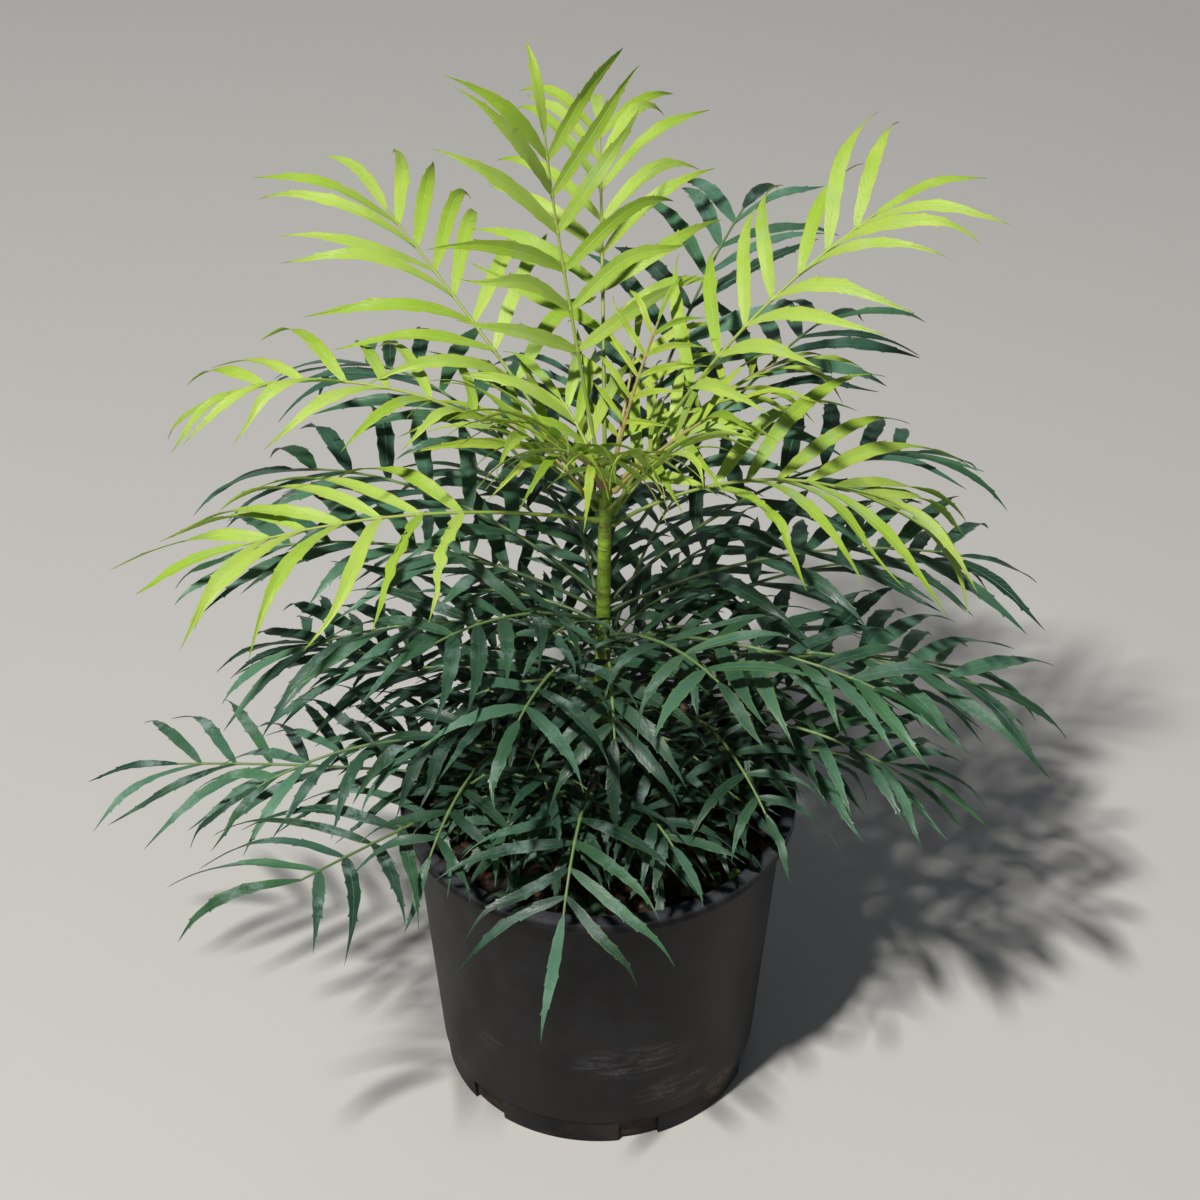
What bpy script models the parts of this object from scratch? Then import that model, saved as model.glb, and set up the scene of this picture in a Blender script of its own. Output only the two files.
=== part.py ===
"""A mahonia with narrow leaflets, growing in a round black nursery pot.

Metres, +Z up. The origin is under the middle of the pot, on the surface it stands on, and -Y is
the plant's front. The pot holds a plug of soil, five canes stand in plain holes in the soil, and
each frond is one solid: its stalk, its rachis and the leaflets that grow from it in pairs.

Fronds are placed by the rows in FRONDS. Leaflets follow from a rule with seeded random draws, and
a leaflet that would cross another frond is bent clear, then shortened, and left out at the last.
"""

import math
from collections import namedtuple

import bmesh
import bpy
import numpy as np
from mathutils import Matrix, Vector
from mathutils.bvhtree import BVHTree

GAP = 0.0003

# Pot
POT_HEIGHT = 0.235
POT_BASE_RADIUS = 0.1125
POT_NECK_RADIUS = 0.132
POT_RIM_RADIUS = 0.140
POT_WALL = 0.002
POT_FLOOR = 0.003
POT_SIDES = 64
LIP_DEPTH = 0.0085
LIP_WALL = 0.0025
LIP_BEVEL = 0.0008
RIM_ROUNDING = 0.0016
FOOT_STEP_HEIGHT = 0.022
FOOT_STEP_DEPTH = 0.0012
NOTCH_COUNT = 6
NOTCH_WIDTH = 0.030
NOTCH_HEIGHT = 0.018
NOTCH_REACH = 0.016
NOTCH_FIRST_ANGLE = math.radians(-75)

# Soil
SOIL_TOP = 0.206
SOIL_BOTTOM = POT_FLOOR + GAP
SOIL_SIDES = 32
SOIL_RINGS = 3
SOIL_MOUND = 0.006
SOIL_UNEVENNESS = 0.0018
SOIL_SEED = 3
CANE_SOCKET_DEPTH = 0.045
SOCKET_CUTTER_LENGTH = 0.08

# Canes: name, foot (x, y), head (x, y, z), foot radius, head radius
Cane = namedtuple("Cane", "name foot head foot_radius head_radius sides rings")
CANES = (
    Cane("cane_main", (0.002, 0.004), (0.005, 0.000, 0.503), 0.0062, 0.0040, 10, 9),
    Cane("cane_left", (-0.036, -0.006), (-0.058, -0.016, 0.300), 0.0042, 0.0030, 8, 4),
    Cane("cane_right", (0.036, 0.006), (0.060, 0.002, 0.310), 0.0042, 0.0030, 8, 4),
    Cane("cane_front", (0.004, -0.036), (-0.002, -0.060, 0.300), 0.0040, 0.0028, 8, 4),
    Cane("cane_back", (0.004, 0.042), (0.000, 0.064, 0.330), 0.0042, 0.0030, 8, 4),
)
NODE_SWELL = 1.10
CANE_COLLAR_HEIGHT = 0.004
CANE_LEAN_CURVE = 1.3

# Ages of frond. Angles are in degrees. base_angle and tip_angle are between leaflet and rachis,
# lift raises a leaflet out of the frond's plane, droop is how far it arches under its weight, and
# bare is the share of the rachis below its first pair.
Age = namedtuple("Age", "width base_angle tip_angle lift droop bare stations colour")
LIME = Age(0.0102, 60, 34, 26, 1.20, 0.34, (0.20, 0.50, 0.75), (0.40, 0.62, 0.06))
NEW = Age(0.0076, 62, 40, 20, 1.40, 0.28, (0.25, 0.60), (0.45, 0.50, 0.10))
DARK = Age(0.0122, 62, 38, 16, 0.85, 0.22, (0.30, 0.65), (0.045, 0.16, 0.09))
AGES = {"lime": LIME, "new": NEW, "dark": DARK}

# How some fronds hold their leaflets: the degrees by which all of them stand wider, the degrees by
# which those on the right stand wider and those on the left closer, their width as a share of what
# is usual for their age, and the degrees by which the one at the tip turns to the right.
Habit = namedtuple("Habit", "opening skew slimness end_turn", defaults=(0.0, 0.0, 1.0, 0.0))
USUAL = Habit()
HABITS = {
    "lime_right": Habit(skew=13),
    "lime_left": Habit(skew=-14),
    "dark_front_left": Habit(opening=8),
    "dark_front_left_2": Habit(opening=6),
    "dark_front_right": Habit(opening=12),
    "low_left_1": Habit(slimness=0.74),
    "low_left_2": Habit(opening=4, slimness=0.78, end_turn=22),
    "low_left_3": Habit(slimness=0.82),
    "low_left_4": Habit(slimness=0.86),
    "low_left_6": Habit(opening=12, slimness=0.84),
    "low_right_1": Habit(slimness=0.80),
    "low_right_3": Habit(slimness=0.82),
    "low_right_6": Habit(opening=12, slimness=0.84),
    "low_front_1": Habit(opening=10, slimness=0.74),
}

# Fronds. Each row gives the frond's name, age, cane, the height where it leaves the cane, its
# azimuth (0 is +X, 90 is +Y), its slope where it starts and where it ends, its length, how far
# it turns sideways, its roll, its number of leaflet pairs and its longest leaflet (degrees, mm).
# A row may end with the share of that which its terminal leaflet has.
TERMINAL_SIZE = 0.78
Frond = namedtuple(
    "Frond",
    "name age cane z az rise fall length sway roll pairs leaflet terminal",
    defaults=(TERMINAL_SIZE,),
)
FRONDS = tuple(
    Frond(*row)
    for row in (
        ("lime_top", "lime", 0, 490, 109, 57, 80, 232, 16, 0, 6, 110, 0.58),
        ("lime_back", "lime", 0, 484, 105, 62, 10, 280, 0, 0, 7, 104),
        ("lime_upper_left", "lime", 0, 478, 131, 34, 18, 265, -6, 0, 7, 118),
        ("lime_upper_right", "lime", 0, 472, 22, 63, 28, 260, 0, 0, 7, 114),
        ("lime_right", "lime", 0, 462, 8, 32, -30, 185, 0, 6, 6, 132),
        ("lime_left", "lime", 0, 466, 187, 14, -14, 232, 0, -8, 6, 118),
        ("lime_back_left", "lime", 0, 474, 166, 50, -20, 262, 6, 0, 6, 90),
        ("new_right", "new", 0, 488, 33, 30, -5, 168, 3, 0, 5, 72),
        ("new_front", "new", 0, 496, 244, 63, 30, 80, 0, 0, 5, 90),
        ("new_upright", "new", 0, 499, 50, 72, 56, 105, 0, 0, 5, 50),
        ("dark_top_right", "dark", 0, 440, 66, 51, 1, 297, 4, 0, 7, 100),
        ("dark_right_1", "dark", 0, 424, 48, 38, -15, 300, 15, 0, 7, 100),
        ("dark_right_2", "dark", 0, 400, 30, 34, -22, 270, 5, 0, 6, 98),
        ("dark_right_3", "dark", 0, 392, 8, 26, -20, 250, 5, 0, 6, 104),
        ("dark_right_4", "dark", 0, 360, 26, 16, -26, 275, 8, 0, 6, 96),
        ("dark_right_5", "dark", 0, 342, 352, 22, -22, 255, 8, 0, 6, 108),
        ("dark_right_6", "dark", 0, 318, 16, 10, -30, 280, 8, 0, 6, 100),
        ("dark_right_7", "dark", 0, 372, 334, 22, -15, 190, 6, 0, 6, 90),
        ("dark_left_1", "dark", 0, 430, 133, 40, -28, 288, -5, 0, 7, 104),
        ("dark_left_2", "dark", 0, 404, 152, 32, -20, 250, 0, 0, 6, 100),
        ("dark_left_3", "dark", 0, 372, 182, 16, -20, 200, 0, 0, 6, 96),
        ("dark_left_4", "dark", 0, 330, 164, -2, -20, 190, -5, 0, 6, 92),
        ("dark_left_5", "dark", 0, 312, 206, 30, -20, 134, 3, 0, 5, 80),
        ("dark_left_6", "dark", 0, 394, 168, 26, -16, 235, 4, 0, 6, 100),
        ("dark_front_left", "dark", 0, 364, 244, 34, -4, 143, 8, 0, 5, 84),
        ("dark_front_left_2", "dark", 0, 385, 216, 38, -2, 140, 5, 0, 5, 88),
        ("dark_front_right", "dark", 0, 375, 308, 34, 0, 132, -8, 0, 4, 82),
        ("dark_front", "dark", 0, 380, 274, 26, -45, 106, 0, 0, 5, 80),
        ("dark_back_1", "dark", 0, 412, 95, 32, -20, 240, 0, 0, 6, 96),
        ("dark_back_2", "dark", 0, 382, 116, 20, -26, 225, -4, 0, 6, 96),
        ("dark_back_3", "dark", 0, 350, 74, 16, -24, 230, 4, 0, 6, 96),
        ("low_left_1", "dark", 1, 250, 172, 2, -12, 260, -6, 0, 7, 104),
        ("low_left_2", "dark", 1, 266, 221, 4, 14, 210, 13, 0, 6, 102, 1.02),
        ("low_left_3", "dark", 1, 286, 193, 28, -26, 185, 4, 0, 6, 80),
        ("low_left_4", "dark", 1, 296, 148, 24, -24, 200, -4, 0, 6, 84),
        ("low_left_5", "dark", 1, 240, 258, 42, -10, 92, 6, 0, 5, 56),
        ("low_left_6", "dark", 1, 292, 244, 34, -30, 140, 6, 0, 5, 66),
        ("low_right_1", "dark", 2, 262, 352, 20, -18, 166, 8, 0, 5, 98),
        ("low_right_2", "dark", 2, 290, 22, 16, -34, 200, 6, 0, 6, 84),
        ("low_right_3", "dark", 2, 300, 335, 26, -26, 160, 4, 0, 5, 78),
        ("low_right_4", "dark", 2, 275, 58, 18, -26, 180, 4, 0, 6, 82),
        ("low_right_5", "dark", 2, 246, 314, 42, -10, 92, -4, 0, 5, 56),
        ("low_right_6", "dark", 2, 304, 292, 36, -30, 130, 4, 0, 5, 64),
        ("low_front_1", "dark", 3, 296, 260, 30, -50, 126, 0, 0, 5, 90, 0.92),
        ("low_front_2", "dark", 3, 288, 304, 36, -20, 94, -4, 0, 5, 58),
        ("low_front_3", "dark", 3, 280, 222, 38, -16, 92, 4, 0, 5, 56),
        ("low_front_4", "dark", 3, 254, 338, 34, -16, 84, -6, 0, 4, 54),
        ("low_front_5", "dark", 3, 262, 186, 38, -18, 86, 4, 0, 4, 54),
        ("low_back_1", "dark", 4, 326, 96, 24, -26, 205, 4, 0, 6, 88),
        ("low_back_2", "dark", 4, 304, 62, 20, -26, 195, -4, 0, 6, 84),
        ("low_back_3", "dark", 4, 314, 132, 22, -26, 200, 4, 0, 6, 86),
        ("low_back_4", "dark", 4, 276, 106, 14, -26, 175, -4, 0, 5, 78),
        ("low_back_5", "dark", 4, 290, 160, 18, -28, 170, 4, 0, 5, 76),
    )
)

# Rachis: its rings below the first pair, its radius at both ends, and its swollen foot and joints.
BARE_RINGS = (0.33, 0.67)
STALK_RADIUS = 0.0017
TIP_RADIUS = 0.0009
FOOT_SWELL = 1.3
FOOT_OVERHANG = 0.3
JOINT_SWELL = 1.15
JOINT_LENGTH = 0.0048
JOINT_DEPTH = 0.0020
RACHIS_STEPS = 24
RACHIS_CORNERS = (150, 30, 270)

# Pairs of leaflets: where the first one is, as a share of the room for one, and how they crowd.
FIRST_PAIR = 0.3
PAIR_CROWDING = 0.92

# Leaflets: sizes as shares of the frond's longest, narrower where they are short, and the spread
# of the seeded draws in size, in degrees and in droop.
BASAL_SIZE = 0.86
MIDDLE_EXTRA = 0.16
SIZE_DRAW = (0.92, 1.06)
ANGLE_DRAW = 7
LIFT_DRAW = 11
DROOP_DRAW = 0.3
TERMINAL_DRAW = 6
DROOP_CURVE = 1.6
GRAVITY_SHARE = 0.6
FULL_LEAFLET = 0.104
SHORT_WIDTH = 0.2
BLADE_THICKNESS = 0.0013
THINNEST_SHARE = 0.6
BLADE_STEPS = 20

# How fronds are kept apart: the room left between them, and in turn the ways tried, as degrees
# that a stalk turns about its cane, and as degrees a leaflet swings and lifts at a share of its
# length. A stalk's foot stands closer to its neighbours than the free part of it does.
CLEARANCE = 0.0006
FOOT_CLEARANCE = 0.0002
FREE_FROM = 0.12
BLADE_FREE_FROM = 0.20
SHELL_RINGS = 17
STALK_TURNS = (0, 7, -7, 14, -14, 21, -21, 28, -28)
SWINGS_AND_LIFTS = [
    (swing * step, lift * step)
    for step in (1, 2)
    for swing, lift in ((0, 9), (0, -9), (7, 0), (-7, 0), (7, 7), (-7, -7), (7, -7), (-7, 7))
]
LEAFLET_BENDS = [
    (swing, lift, shrink)
    for shrink in (1.0, 0.88, 0.76, 0.64, 0.52)
    for swing, lift in [(0, 0), *SWINGS_AND_LIFTS]
]


def material(name, colour, roughness):
    made = bpy.data.materials.new(name)
    made.use_nodes = True
    shader = made.node_tree.nodes["Principled BSDF"]
    shader.inputs["Base Color"].default_value = (*colour, 1.0)
    shader.inputs["Roughness"].default_value = roughness
    shader.inputs["Metallic"].default_value = 0.0
    made.diffuse_color = (*colour, 1.0)
    return made


def add_object(name, points, faces, surface, smooth=False):
    mesh = bpy.data.meshes.new(name)
    mesh.from_pydata([tuple(map(float, p)) for p in points], [], faces)
    mesh.materials.append(surface)
    if smooth:
        mesh.shade_smooth()
        mesh.set_sharp_from_angle(angle=math.radians(35))
    thing = bpy.data.objects.new(name, mesh)
    bpy.context.scene.collection.objects.link(thing)
    return thing


def unit(vector):
    return vector / np.linalg.norm(vector)


def ring_strip(first, second):
    """Quads between two rings of equally many vertex numbers."""
    count = len(first)
    return [
        (first[i], first[(i + 1) % count], second[(i + 1) % count], second[i])
        for i in range(count)
    ]


def turned(profile, sides):
    """Points and faces of a closed profile of (radius, height) turned about Z. Radius 0 is a pole."""
    points = []
    rings = []
    for radius, height in profile:
        if radius == 0:
            rings.append([len(points)] * sides)
            points.append((0.0, 0.0, height))
            continue
        rings.append(list(range(len(points), len(points) + sides)))
        for side in range(sides):
            angle = 2 * math.pi * side / sides
            points.append((radius * math.cos(angle), radius * math.sin(angle), height))
    faces = []
    for lower, upper in zip(rings, rings[1:]):
        for quad in ring_strip(lower, upper):
            corners = tuple(dict.fromkeys(quad))
            faces.append(corners)
    return points, faces


def cut(target, cutter):
    """Takes the cutter out of the target with a Boolean that stays on it as a modifier."""
    cutter.hide_render = True
    cutter.display_type = "WIRE"
    boolean = target.modifiers.new("cut", "BOOLEAN")
    boolean.operation = "DIFFERENCE"
    boolean.solver = "EXACT"
    boolean.object = cutter


def build_pot(surface):
    lip_bottom = POT_HEIGHT - LIP_DEPTH
    step_share = FOOT_STEP_HEIGHT / lip_bottom
    step_radius = POT_BASE_RADIUS + (POT_NECK_RADIUS - POT_BASE_RADIUS) * step_share
    mouth_radius = POT_NECK_RADIUS - LIP_WALL
    profile = (
        (0, 0),
        (POT_BASE_RADIUS, 0),
        (step_radius, FOOT_STEP_HEIGHT),
        (step_radius + FOOT_STEP_DEPTH, FOOT_STEP_HEIGHT),
        (POT_NECK_RADIUS, lip_bottom),
        (POT_RIM_RADIUS - LIP_BEVEL, lip_bottom),
        (POT_RIM_RADIUS, lip_bottom + LIP_BEVEL),
        (POT_RIM_RADIUS, POT_HEIGHT - RIM_ROUNDING),
        (POT_RIM_RADIUS - RIM_ROUNDING, POT_HEIGHT),
        (mouth_radius + RIM_ROUNDING, POT_HEIGHT),
        (mouth_radius, POT_HEIGHT - RIM_ROUNDING),
        (pot_inner_radius(lip_bottom), lip_bottom),
        (pot_inner_radius(POT_FLOOR), POT_FLOOR),
        (0, POT_FLOOR),
    )
    points, faces = turned(profile, POT_SIDES)
    pot = add_object("pot", points, faces, surface, smooth=True)
    cutter = bpy.data.meshes.new("notches")
    boxes = bmesh.new()
    for number in range(NOTCH_COUNT):
        angle = NOTCH_FIRST_ANGLE + 2 * math.pi * number / NOTCH_COUNT
        size = Matrix.Diagonal((NOTCH_REACH, NOTCH_WIDTH, 2 * NOTCH_HEIGHT, 1))
        place = Matrix.Rotation(angle, 4, "Z") @ Matrix.Translation((POT_BASE_RADIUS, 0, 0))
        bmesh.ops.create_cube(boxes, size=1, matrix=place @ size)
    boxes.to_mesh(cutter)
    boxes.free()
    notches = bpy.data.objects.new("notches", cutter)
    bpy.context.scene.collection.objects.link(notches)
    cut(pot, notches)
    return pot


def pot_inner_radius(height):
    """Radius of the pot's inner wall at a height."""
    share = (height - POT_FLOOR) / (POT_HEIGHT - LIP_DEPTH - POT_FLOOR)
    return POT_BASE_RADIUS - POT_WALL + (POT_NECK_RADIUS - POT_BASE_RADIUS) * share


def cane_point(cane, height):
    """A cane's axis at a height: straight at its foot, then bending to its head."""
    foot = np.array([*cane.foot, SOIL_TOP])
    head = np.array(cane.head)
    share = (height - foot[2]) / (head[2] - foot[2])
    lean = max(share, 0.0) ** CANE_LEAN_CURVE
    x, y = foot[:2] + (head[:2] - foot[:2]) * lean
    return np.array([x, y, height])


def cane_radius(cane, height):
    share = (height - SOIL_TOP) / (cane.head[2] - SOIL_TOP)
    share = min(max(share, 0.0), 1.0)
    return cane.foot_radius + (cane.head_radius - cane.foot_radius) * share


def build_soil(surface):
    """A plug that fills the pot, with a gently mounded top."""
    edge = pot_inner_radius(SOIL_TOP - SOIL_MOUND) - GAP
    profile = [(0, SOIL_BOTTOM), (pot_inner_radius(SOIL_BOTTOM) - GAP, SOIL_BOTTOM)]
    profile.append((edge, SOIL_TOP - SOIL_MOUND))
    for ring in range(1, SOIL_RINGS + 1):
        share = 1 - ring / (SOIL_RINGS + 1)
        profile.append((edge * share, SOIL_TOP - SOIL_MOUND * share**2))
    profile.append((0, SOIL_TOP))
    points, faces = turned(profile, SOIL_SIDES)
    rng = np.random.default_rng(SOIL_SEED)
    uneven = []
    for x, y, z in points:
        on_top = z > SOIL_TOP - SOIL_MOUND + GAP / 10
        uneven.append((x, y, z + rng.uniform(-SOIL_UNEVENNESS, SOIL_UNEVENNESS) * on_top))
    soil = add_object("soil", uneven, faces, surface)
    for cane in CANES:
        cut(soil, socket_cutter(cane, surface))
    return soil


def socket_cutter(cane, surface):
    """An upright prism a little wider than the cane's foot, from the bottom of its socket up."""
    reach = cane.foot_radius * NODE_SWELL + 2 * GAP
    bottom = SOIL_TOP - CANE_SOCKET_DEPTH
    profile = [(0, bottom), (reach, bottom), (reach, bottom + SOCKET_CUTTER_LENGTH)]
    profile.append((0, bottom + SOCKET_CUTTER_LENGTH))
    points, faces = turned(profile, cane.sides)
    placed = [(x + cane.foot[0], y + cane.foot[1], z) for x, y, z in points]
    return add_object(f"socket_{cane.name}", placed, faces, surface)


def build_cane(cane, surface):
    """A round cane with a swelling at each old leaf joint."""
    bottom = SOIL_TOP - CANE_SOCKET_DEPTH + GAP
    heights = [bottom, SOIL_TOP + CANE_COLLAR_HEIGHT]
    span = cane.head[2] - heights[1]
    heights += [heights[1] + span * (ring + 1) / cane.rings for ring in range(cane.rings)]
    points = []
    rings = []
    for number, height in enumerate(heights):
        x, y, z = cane_point(cane, height)
        swell = NODE_SWELL if number % 2 and number > 1 else 1.0
        radius = cane_radius(cane, height) * swell
        rings.append(list(range(len(points), len(points) + cane.sides)))
        for side in range(cane.sides):
            angle = 2 * math.pi * side / cane.sides
            points.append((x + radius * math.cos(angle), y + radius * math.sin(angle), z))
    faces = [tuple(reversed(rings[0]))]
    for lower, upper in zip(rings, rings[1:]):
        faces += ring_strip(lower, upper)
    faces.append(tuple(rings[-1]))
    return add_object(cane.name, points, faces, surface, smooth=True)


class Rachis:
    """The curved line of one frond, with a frame of directions along it."""

    def __init__(self, frond, turn=0.0):
        self.frond = frond
        self.length = frond.length / 1000
        cane = CANES[frond.cane]
        height = frond.z / 1000
        azimuth = math.radians(frond.az + turn)
        outward = np.array([math.cos(azimuth), math.sin(azimuth), 0.0])
        start_slope = math.radians(frond.rise)
        reach = cane_radius(cane, height) * NODE_SWELL + GAP
        reach += STALK_RADIUS * (abs(math.sin(start_slope)) + FOOT_OVERHANG)
        self.turn = turn
        points = [cane_point(cane, height) + outward * reach]
        for step in range(RACHIS_STEPS):
            tangent = self.frame((step + 0.5) / RACHIS_STEPS)[0]
            points.append(points[-1] + tangent * self.length / RACHIS_STEPS)
        self.points = np.array(points)

    def frame(self, share):
        """Directions along the rachis, out of its upper side, and to its right."""
        frond = self.frond
        slope = math.radians(frond.rise + (frond.fall - frond.rise) * share)
        azimuth = math.radians(frond.az + self.turn + frond.sway * share)
        flat = np.array([math.cos(azimuth), math.sin(azimuth), 0.0])
        up = np.array([0.0, 0.0, 1.0])
        along = flat * math.cos(slope) + up * math.sin(slope)
        above = up * math.cos(slope) - flat * math.sin(slope)
        right = np.cross(along, above)
        roll = math.radians(frond.roll)
        rolled = above * math.cos(roll) + right * math.sin(roll)
        return along, rolled, np.cross(along, rolled)

    def at(self, share):
        place = min(max(share, 0.0), 1.0) * RACHIS_STEPS
        index = min(int(place), RACHIS_STEPS - 1)
        return self.points[index] + (self.points[index + 1] - self.points[index]) * (place - index)

    def radius(self, share):
        return STALK_RADIUS + (TIP_RADIUS - STALK_RADIUS) * share

    def section(self, share, swell=1.0):
        """Left edge, right edge and bottom of the three-sided rachis."""
        _, above, right = self.frame(share)
        centre = self.at(share)
        radius = self.radius(share) * swell
        return [
            centre + (right * math.cos(corner) + above * math.sin(corner)) * radius
            for corner in map(math.radians, RACHIS_CORNERS)
        ]


def blade_shape(share):
    """Width of a narrow leaflet as a share of its widest, from its foot to its drawn-out tip."""
    return 2.38 * share**0.5 * (1 - share) ** 0.8


class Leaflet:
    """One leaflet: where it starts, which way it goes and how it arches."""

    def __init__(self, rachis, share, side, length, rng):
        self.rachis = rachis
        self.share = share
        self.side = side
        self.length = length
        self.age = AGES[rachis.frond.age]
        span = (share - self.age.bare) / (1 - self.age.bare)
        self.angle = self.age.base_angle + (self.age.tip_angle - self.age.base_angle) * span
        self.angle += rng.uniform(-ANGLE_DRAW, ANGLE_DRAW)
        habit = HABITS.get(rachis.frond.name, USUAL)
        self.angle += habit.opening + habit.skew * side
        self.slimness = habit.slimness
        self.lift = self.age.lift + rng.uniform(-LIFT_DRAW, LIFT_DRAW)
        self.droop = self.age.droop * rng.uniform(1 - DROOP_DRAW, 1 + DROOP_DRAW)
        if side == 0:
            self.angle = habit.end_turn + rng.uniform(-TERMINAL_DRAW, TERMINAL_DRAW)
            self.lift = 0.0

    def bent(self, turn, lift, shrink):
        """A copy that leaves the rachis another way, and is shorter."""
        copy = Leaflet.__new__(Leaflet)
        copy.__dict__.update(self.__dict__)
        copy.angle = self.angle + turn
        copy.lift = self.lift + lift
        copy.length = self.length * shrink
        return copy

    def path(self, shares):
        """Centre point, direction and width direction at each share of the length."""
        along, above, right = self.rachis.frame(self.share)
        angle = math.radians(self.angle)
        lift = math.radians(self.lift)
        if self.side == 0:
            sideways = right * math.cos(lift) + above * math.sin(lift)
            across = right
        else:
            sideways = right * self.side * math.cos(lift) + above * math.sin(lift)
            across = -along * self.side
        first = along * math.cos(angle) + sideways * math.sin(angle)
        weight = np.array([0.0, 0.0, -self.droop * GRAVITY_SHARE])
        weight -= above * self.droop * (1 - GRAVITY_SHARE)
        centre = self.rachis.at(self.share)
        found = []
        for step in range(BLADE_STEPS + 1):
            way = unit(first + weight * (step / BLADE_STEPS) ** DROOP_CURVE)
            if step in [round(share * BLADE_STEPS) for share in shares]:
                found.append((centre, way, unit(across - way * (across @ way))))
            centre = centre + way * self.length / BLADE_STEPS
        return found

    def sections(self, shares, thicker=0.0):
        """Two edges and the keel at each share: the blade is a thin three-sided bar."""
        fullness = min(1.0, self.length / FULL_LEAFLET)
        width = self.age.width * self.slimness * (SHORT_WIDTH + (1 - SHORT_WIDTH) * fullness)
        made = []
        for share, (centre, way, across) in zip(shares, self.path(shares)):
            form = blade_shape(share)
            half = across * (max(width * form, JOINT_LENGTH) / 2 + thicker)
            below = np.cross(way, across)
            depth = BLADE_THICKNESS * max(form, THINNEST_SHARE) if share else JOINT_DEPTH
            top = centre - below * thicker
            made.append([top - half, top + half, centre + below * (depth + thicker)])
        return made

    def tip(self, beyond=0.0):
        centre, way, _ = self.path((1.0,))[0]
        return centre + way * beyond

    def shell(self, first_share, thicker):
        """Points and triangles of the blade alone, for testing what it would cross."""
        shares = (first_share, *[s for s in self.age.stations if s > first_share])
        points = [point for section in self.sections(shares, thicker) for point in section]
        faces = three_sided_faces(points)
        points.append(self.tip(thicker))
        last = 3 * len(shares) - 3
        faces += [(last + i, last + (i + 1) % 3, last + 3) for i in range(3)]
        return points, faces


def folded(points, a, b, c, d):
    """Two triangles over four corners, folded along the diagonal that stands out of the solid."""
    normal = np.cross(points[b] - points[a], points[c] - points[a])
    if normal @ (points[d] - points[a]) < 0:
        return [(a, b, c), (a, c, d)]
    return [(a, b, d), (b, c, d)]


def three_sided_faces(points):
    """Triangles of a three-sided tube whose rings follow each other in a list of points."""
    faces = []
    for near in range(0, len(points) - 3, 3):
        for i, j in ((0, 1), (1, 2), (2, 0)):
            faces += folded(points, near + i, near + j, near + 3 + j, near + 3 + i)
    return faces


def rachis_shell(rachis, thicker, first_share=0.0):
    shares = np.linspace(first_share, 1, SHELL_RINGS)
    points = []
    for share in shares:
        points += rachis.section(share, 1 + thicker / rachis.radius(share))
    return points, three_sided_faces(points)


class Clearing:
    """What already stands in the plant, so that nothing new is grown through it."""

    def __init__(self):
        self.trees = []
        self.owners = []
        self.boxes = []

    def add(self, points, faces, owner):
        points = np.array(points, float)
        self.trees.append(BVHTree.FromPolygons([Vector(p) for p in points], faces))
        self.owners.append(owner)
        self.boxes.append(np.concatenate([points.min(axis=0), points.max(axis=0)]))

    def crosses(self, points, faces, owners):
        """Whether the shape meets anything whose owner the test function accepts."""
        points = np.array(points, float)
        tree = BVHTree.FromPolygons([Vector(p) for p in points], faces)
        boxes = np.array(self.boxes)
        near = np.all(boxes[:, :3] <= points.max(axis=0), axis=1)
        near &= np.all(boxes[:, 3:] >= points.min(axis=0), axis=1)
        return any(
            owners(self.owners[index]) and tree.overlap(self.trees[index])
            for index in np.nonzero(near)[0]
        )


def place_rachis(frond, clearing):
    """Turns the frond about its cane until its rachis is clear of the others."""
    for turn in STALK_TURNS:
        rachis = Rachis(frond, turn)
        stalk = rachis_shell(rachis, FOOT_CLEARANCE)
        free_part = rachis_shell(rachis, 3 * CLEARANCE, FREE_FROM)
        if clearing.crosses(*stalk, bool) or clearing.crosses(*free_part, bool):
            continue
        clearing.add(*rachis_shell(rachis, 2 * CLEARANCE), frond.name)
        return rachis
    raise ValueError(f"{frond.name} finds no way through the others")


def pair_span(frond, pair):
    """Where a pair of leaflets stands along the leafy part of a rachis, from 0 to 1."""
    return ((pair + FIRST_PAIR) / frond.pairs) ** PAIR_CROWDING


def rachis_share(frond, span):
    bare = AGES[frond.age].bare
    return bare + (1 - bare) * span


def leaflet_size(frond, span, side):
    """Length as a share of the frond's longest leaflet: they are longest below the middle."""
    if side == 0:
        return frond.terminal
    return BASAL_SIZE + MIDDLE_EXTRA * math.sin(math.pi * span**0.8)


def grow_leaflets(rachis, clearing):
    """The frond's leaflets, pair by pair and then the one at its tip, each bent clear."""
    frond = rachis.frond
    rng = np.random.default_rng(sum(map(ord, frond.name)))
    spots = []
    for pair in range(frond.pairs):
        spots += [(pair, pair_span(frond, pair), side) for side in (-1, 1)]
    spots.append((frond.pairs, 1.0, 0))
    grown = {}
    for pair, span, side in spots:
        length = frond.leaflet / 1000 * leaflet_size(frond, span, side) * rng.uniform(*SIZE_DRAW)
        wanted = Leaflet(rachis, rachis_share(frond, span), side, length, rng)
        for turn, lift, shrink in LEAFLET_BENDS:
            leaf = wanted.bent(turn, lift, shrink)
            outer = leaf.shell(0.0, CLEARANCE)
            own = leaf.shell(BLADE_FREE_FROM, CLEARANCE / 2)
            if clearing.crosses(*outer, lambda owner: owner != frond.name):
                continue
            if clearing.crosses(*own, lambda owner: owner == frond.name):
                continue
            clearing.add(*leaf.shell(0.0, 0.0), frond.name)
            grown[pair, side] = leaf
            break
    return grown


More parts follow.
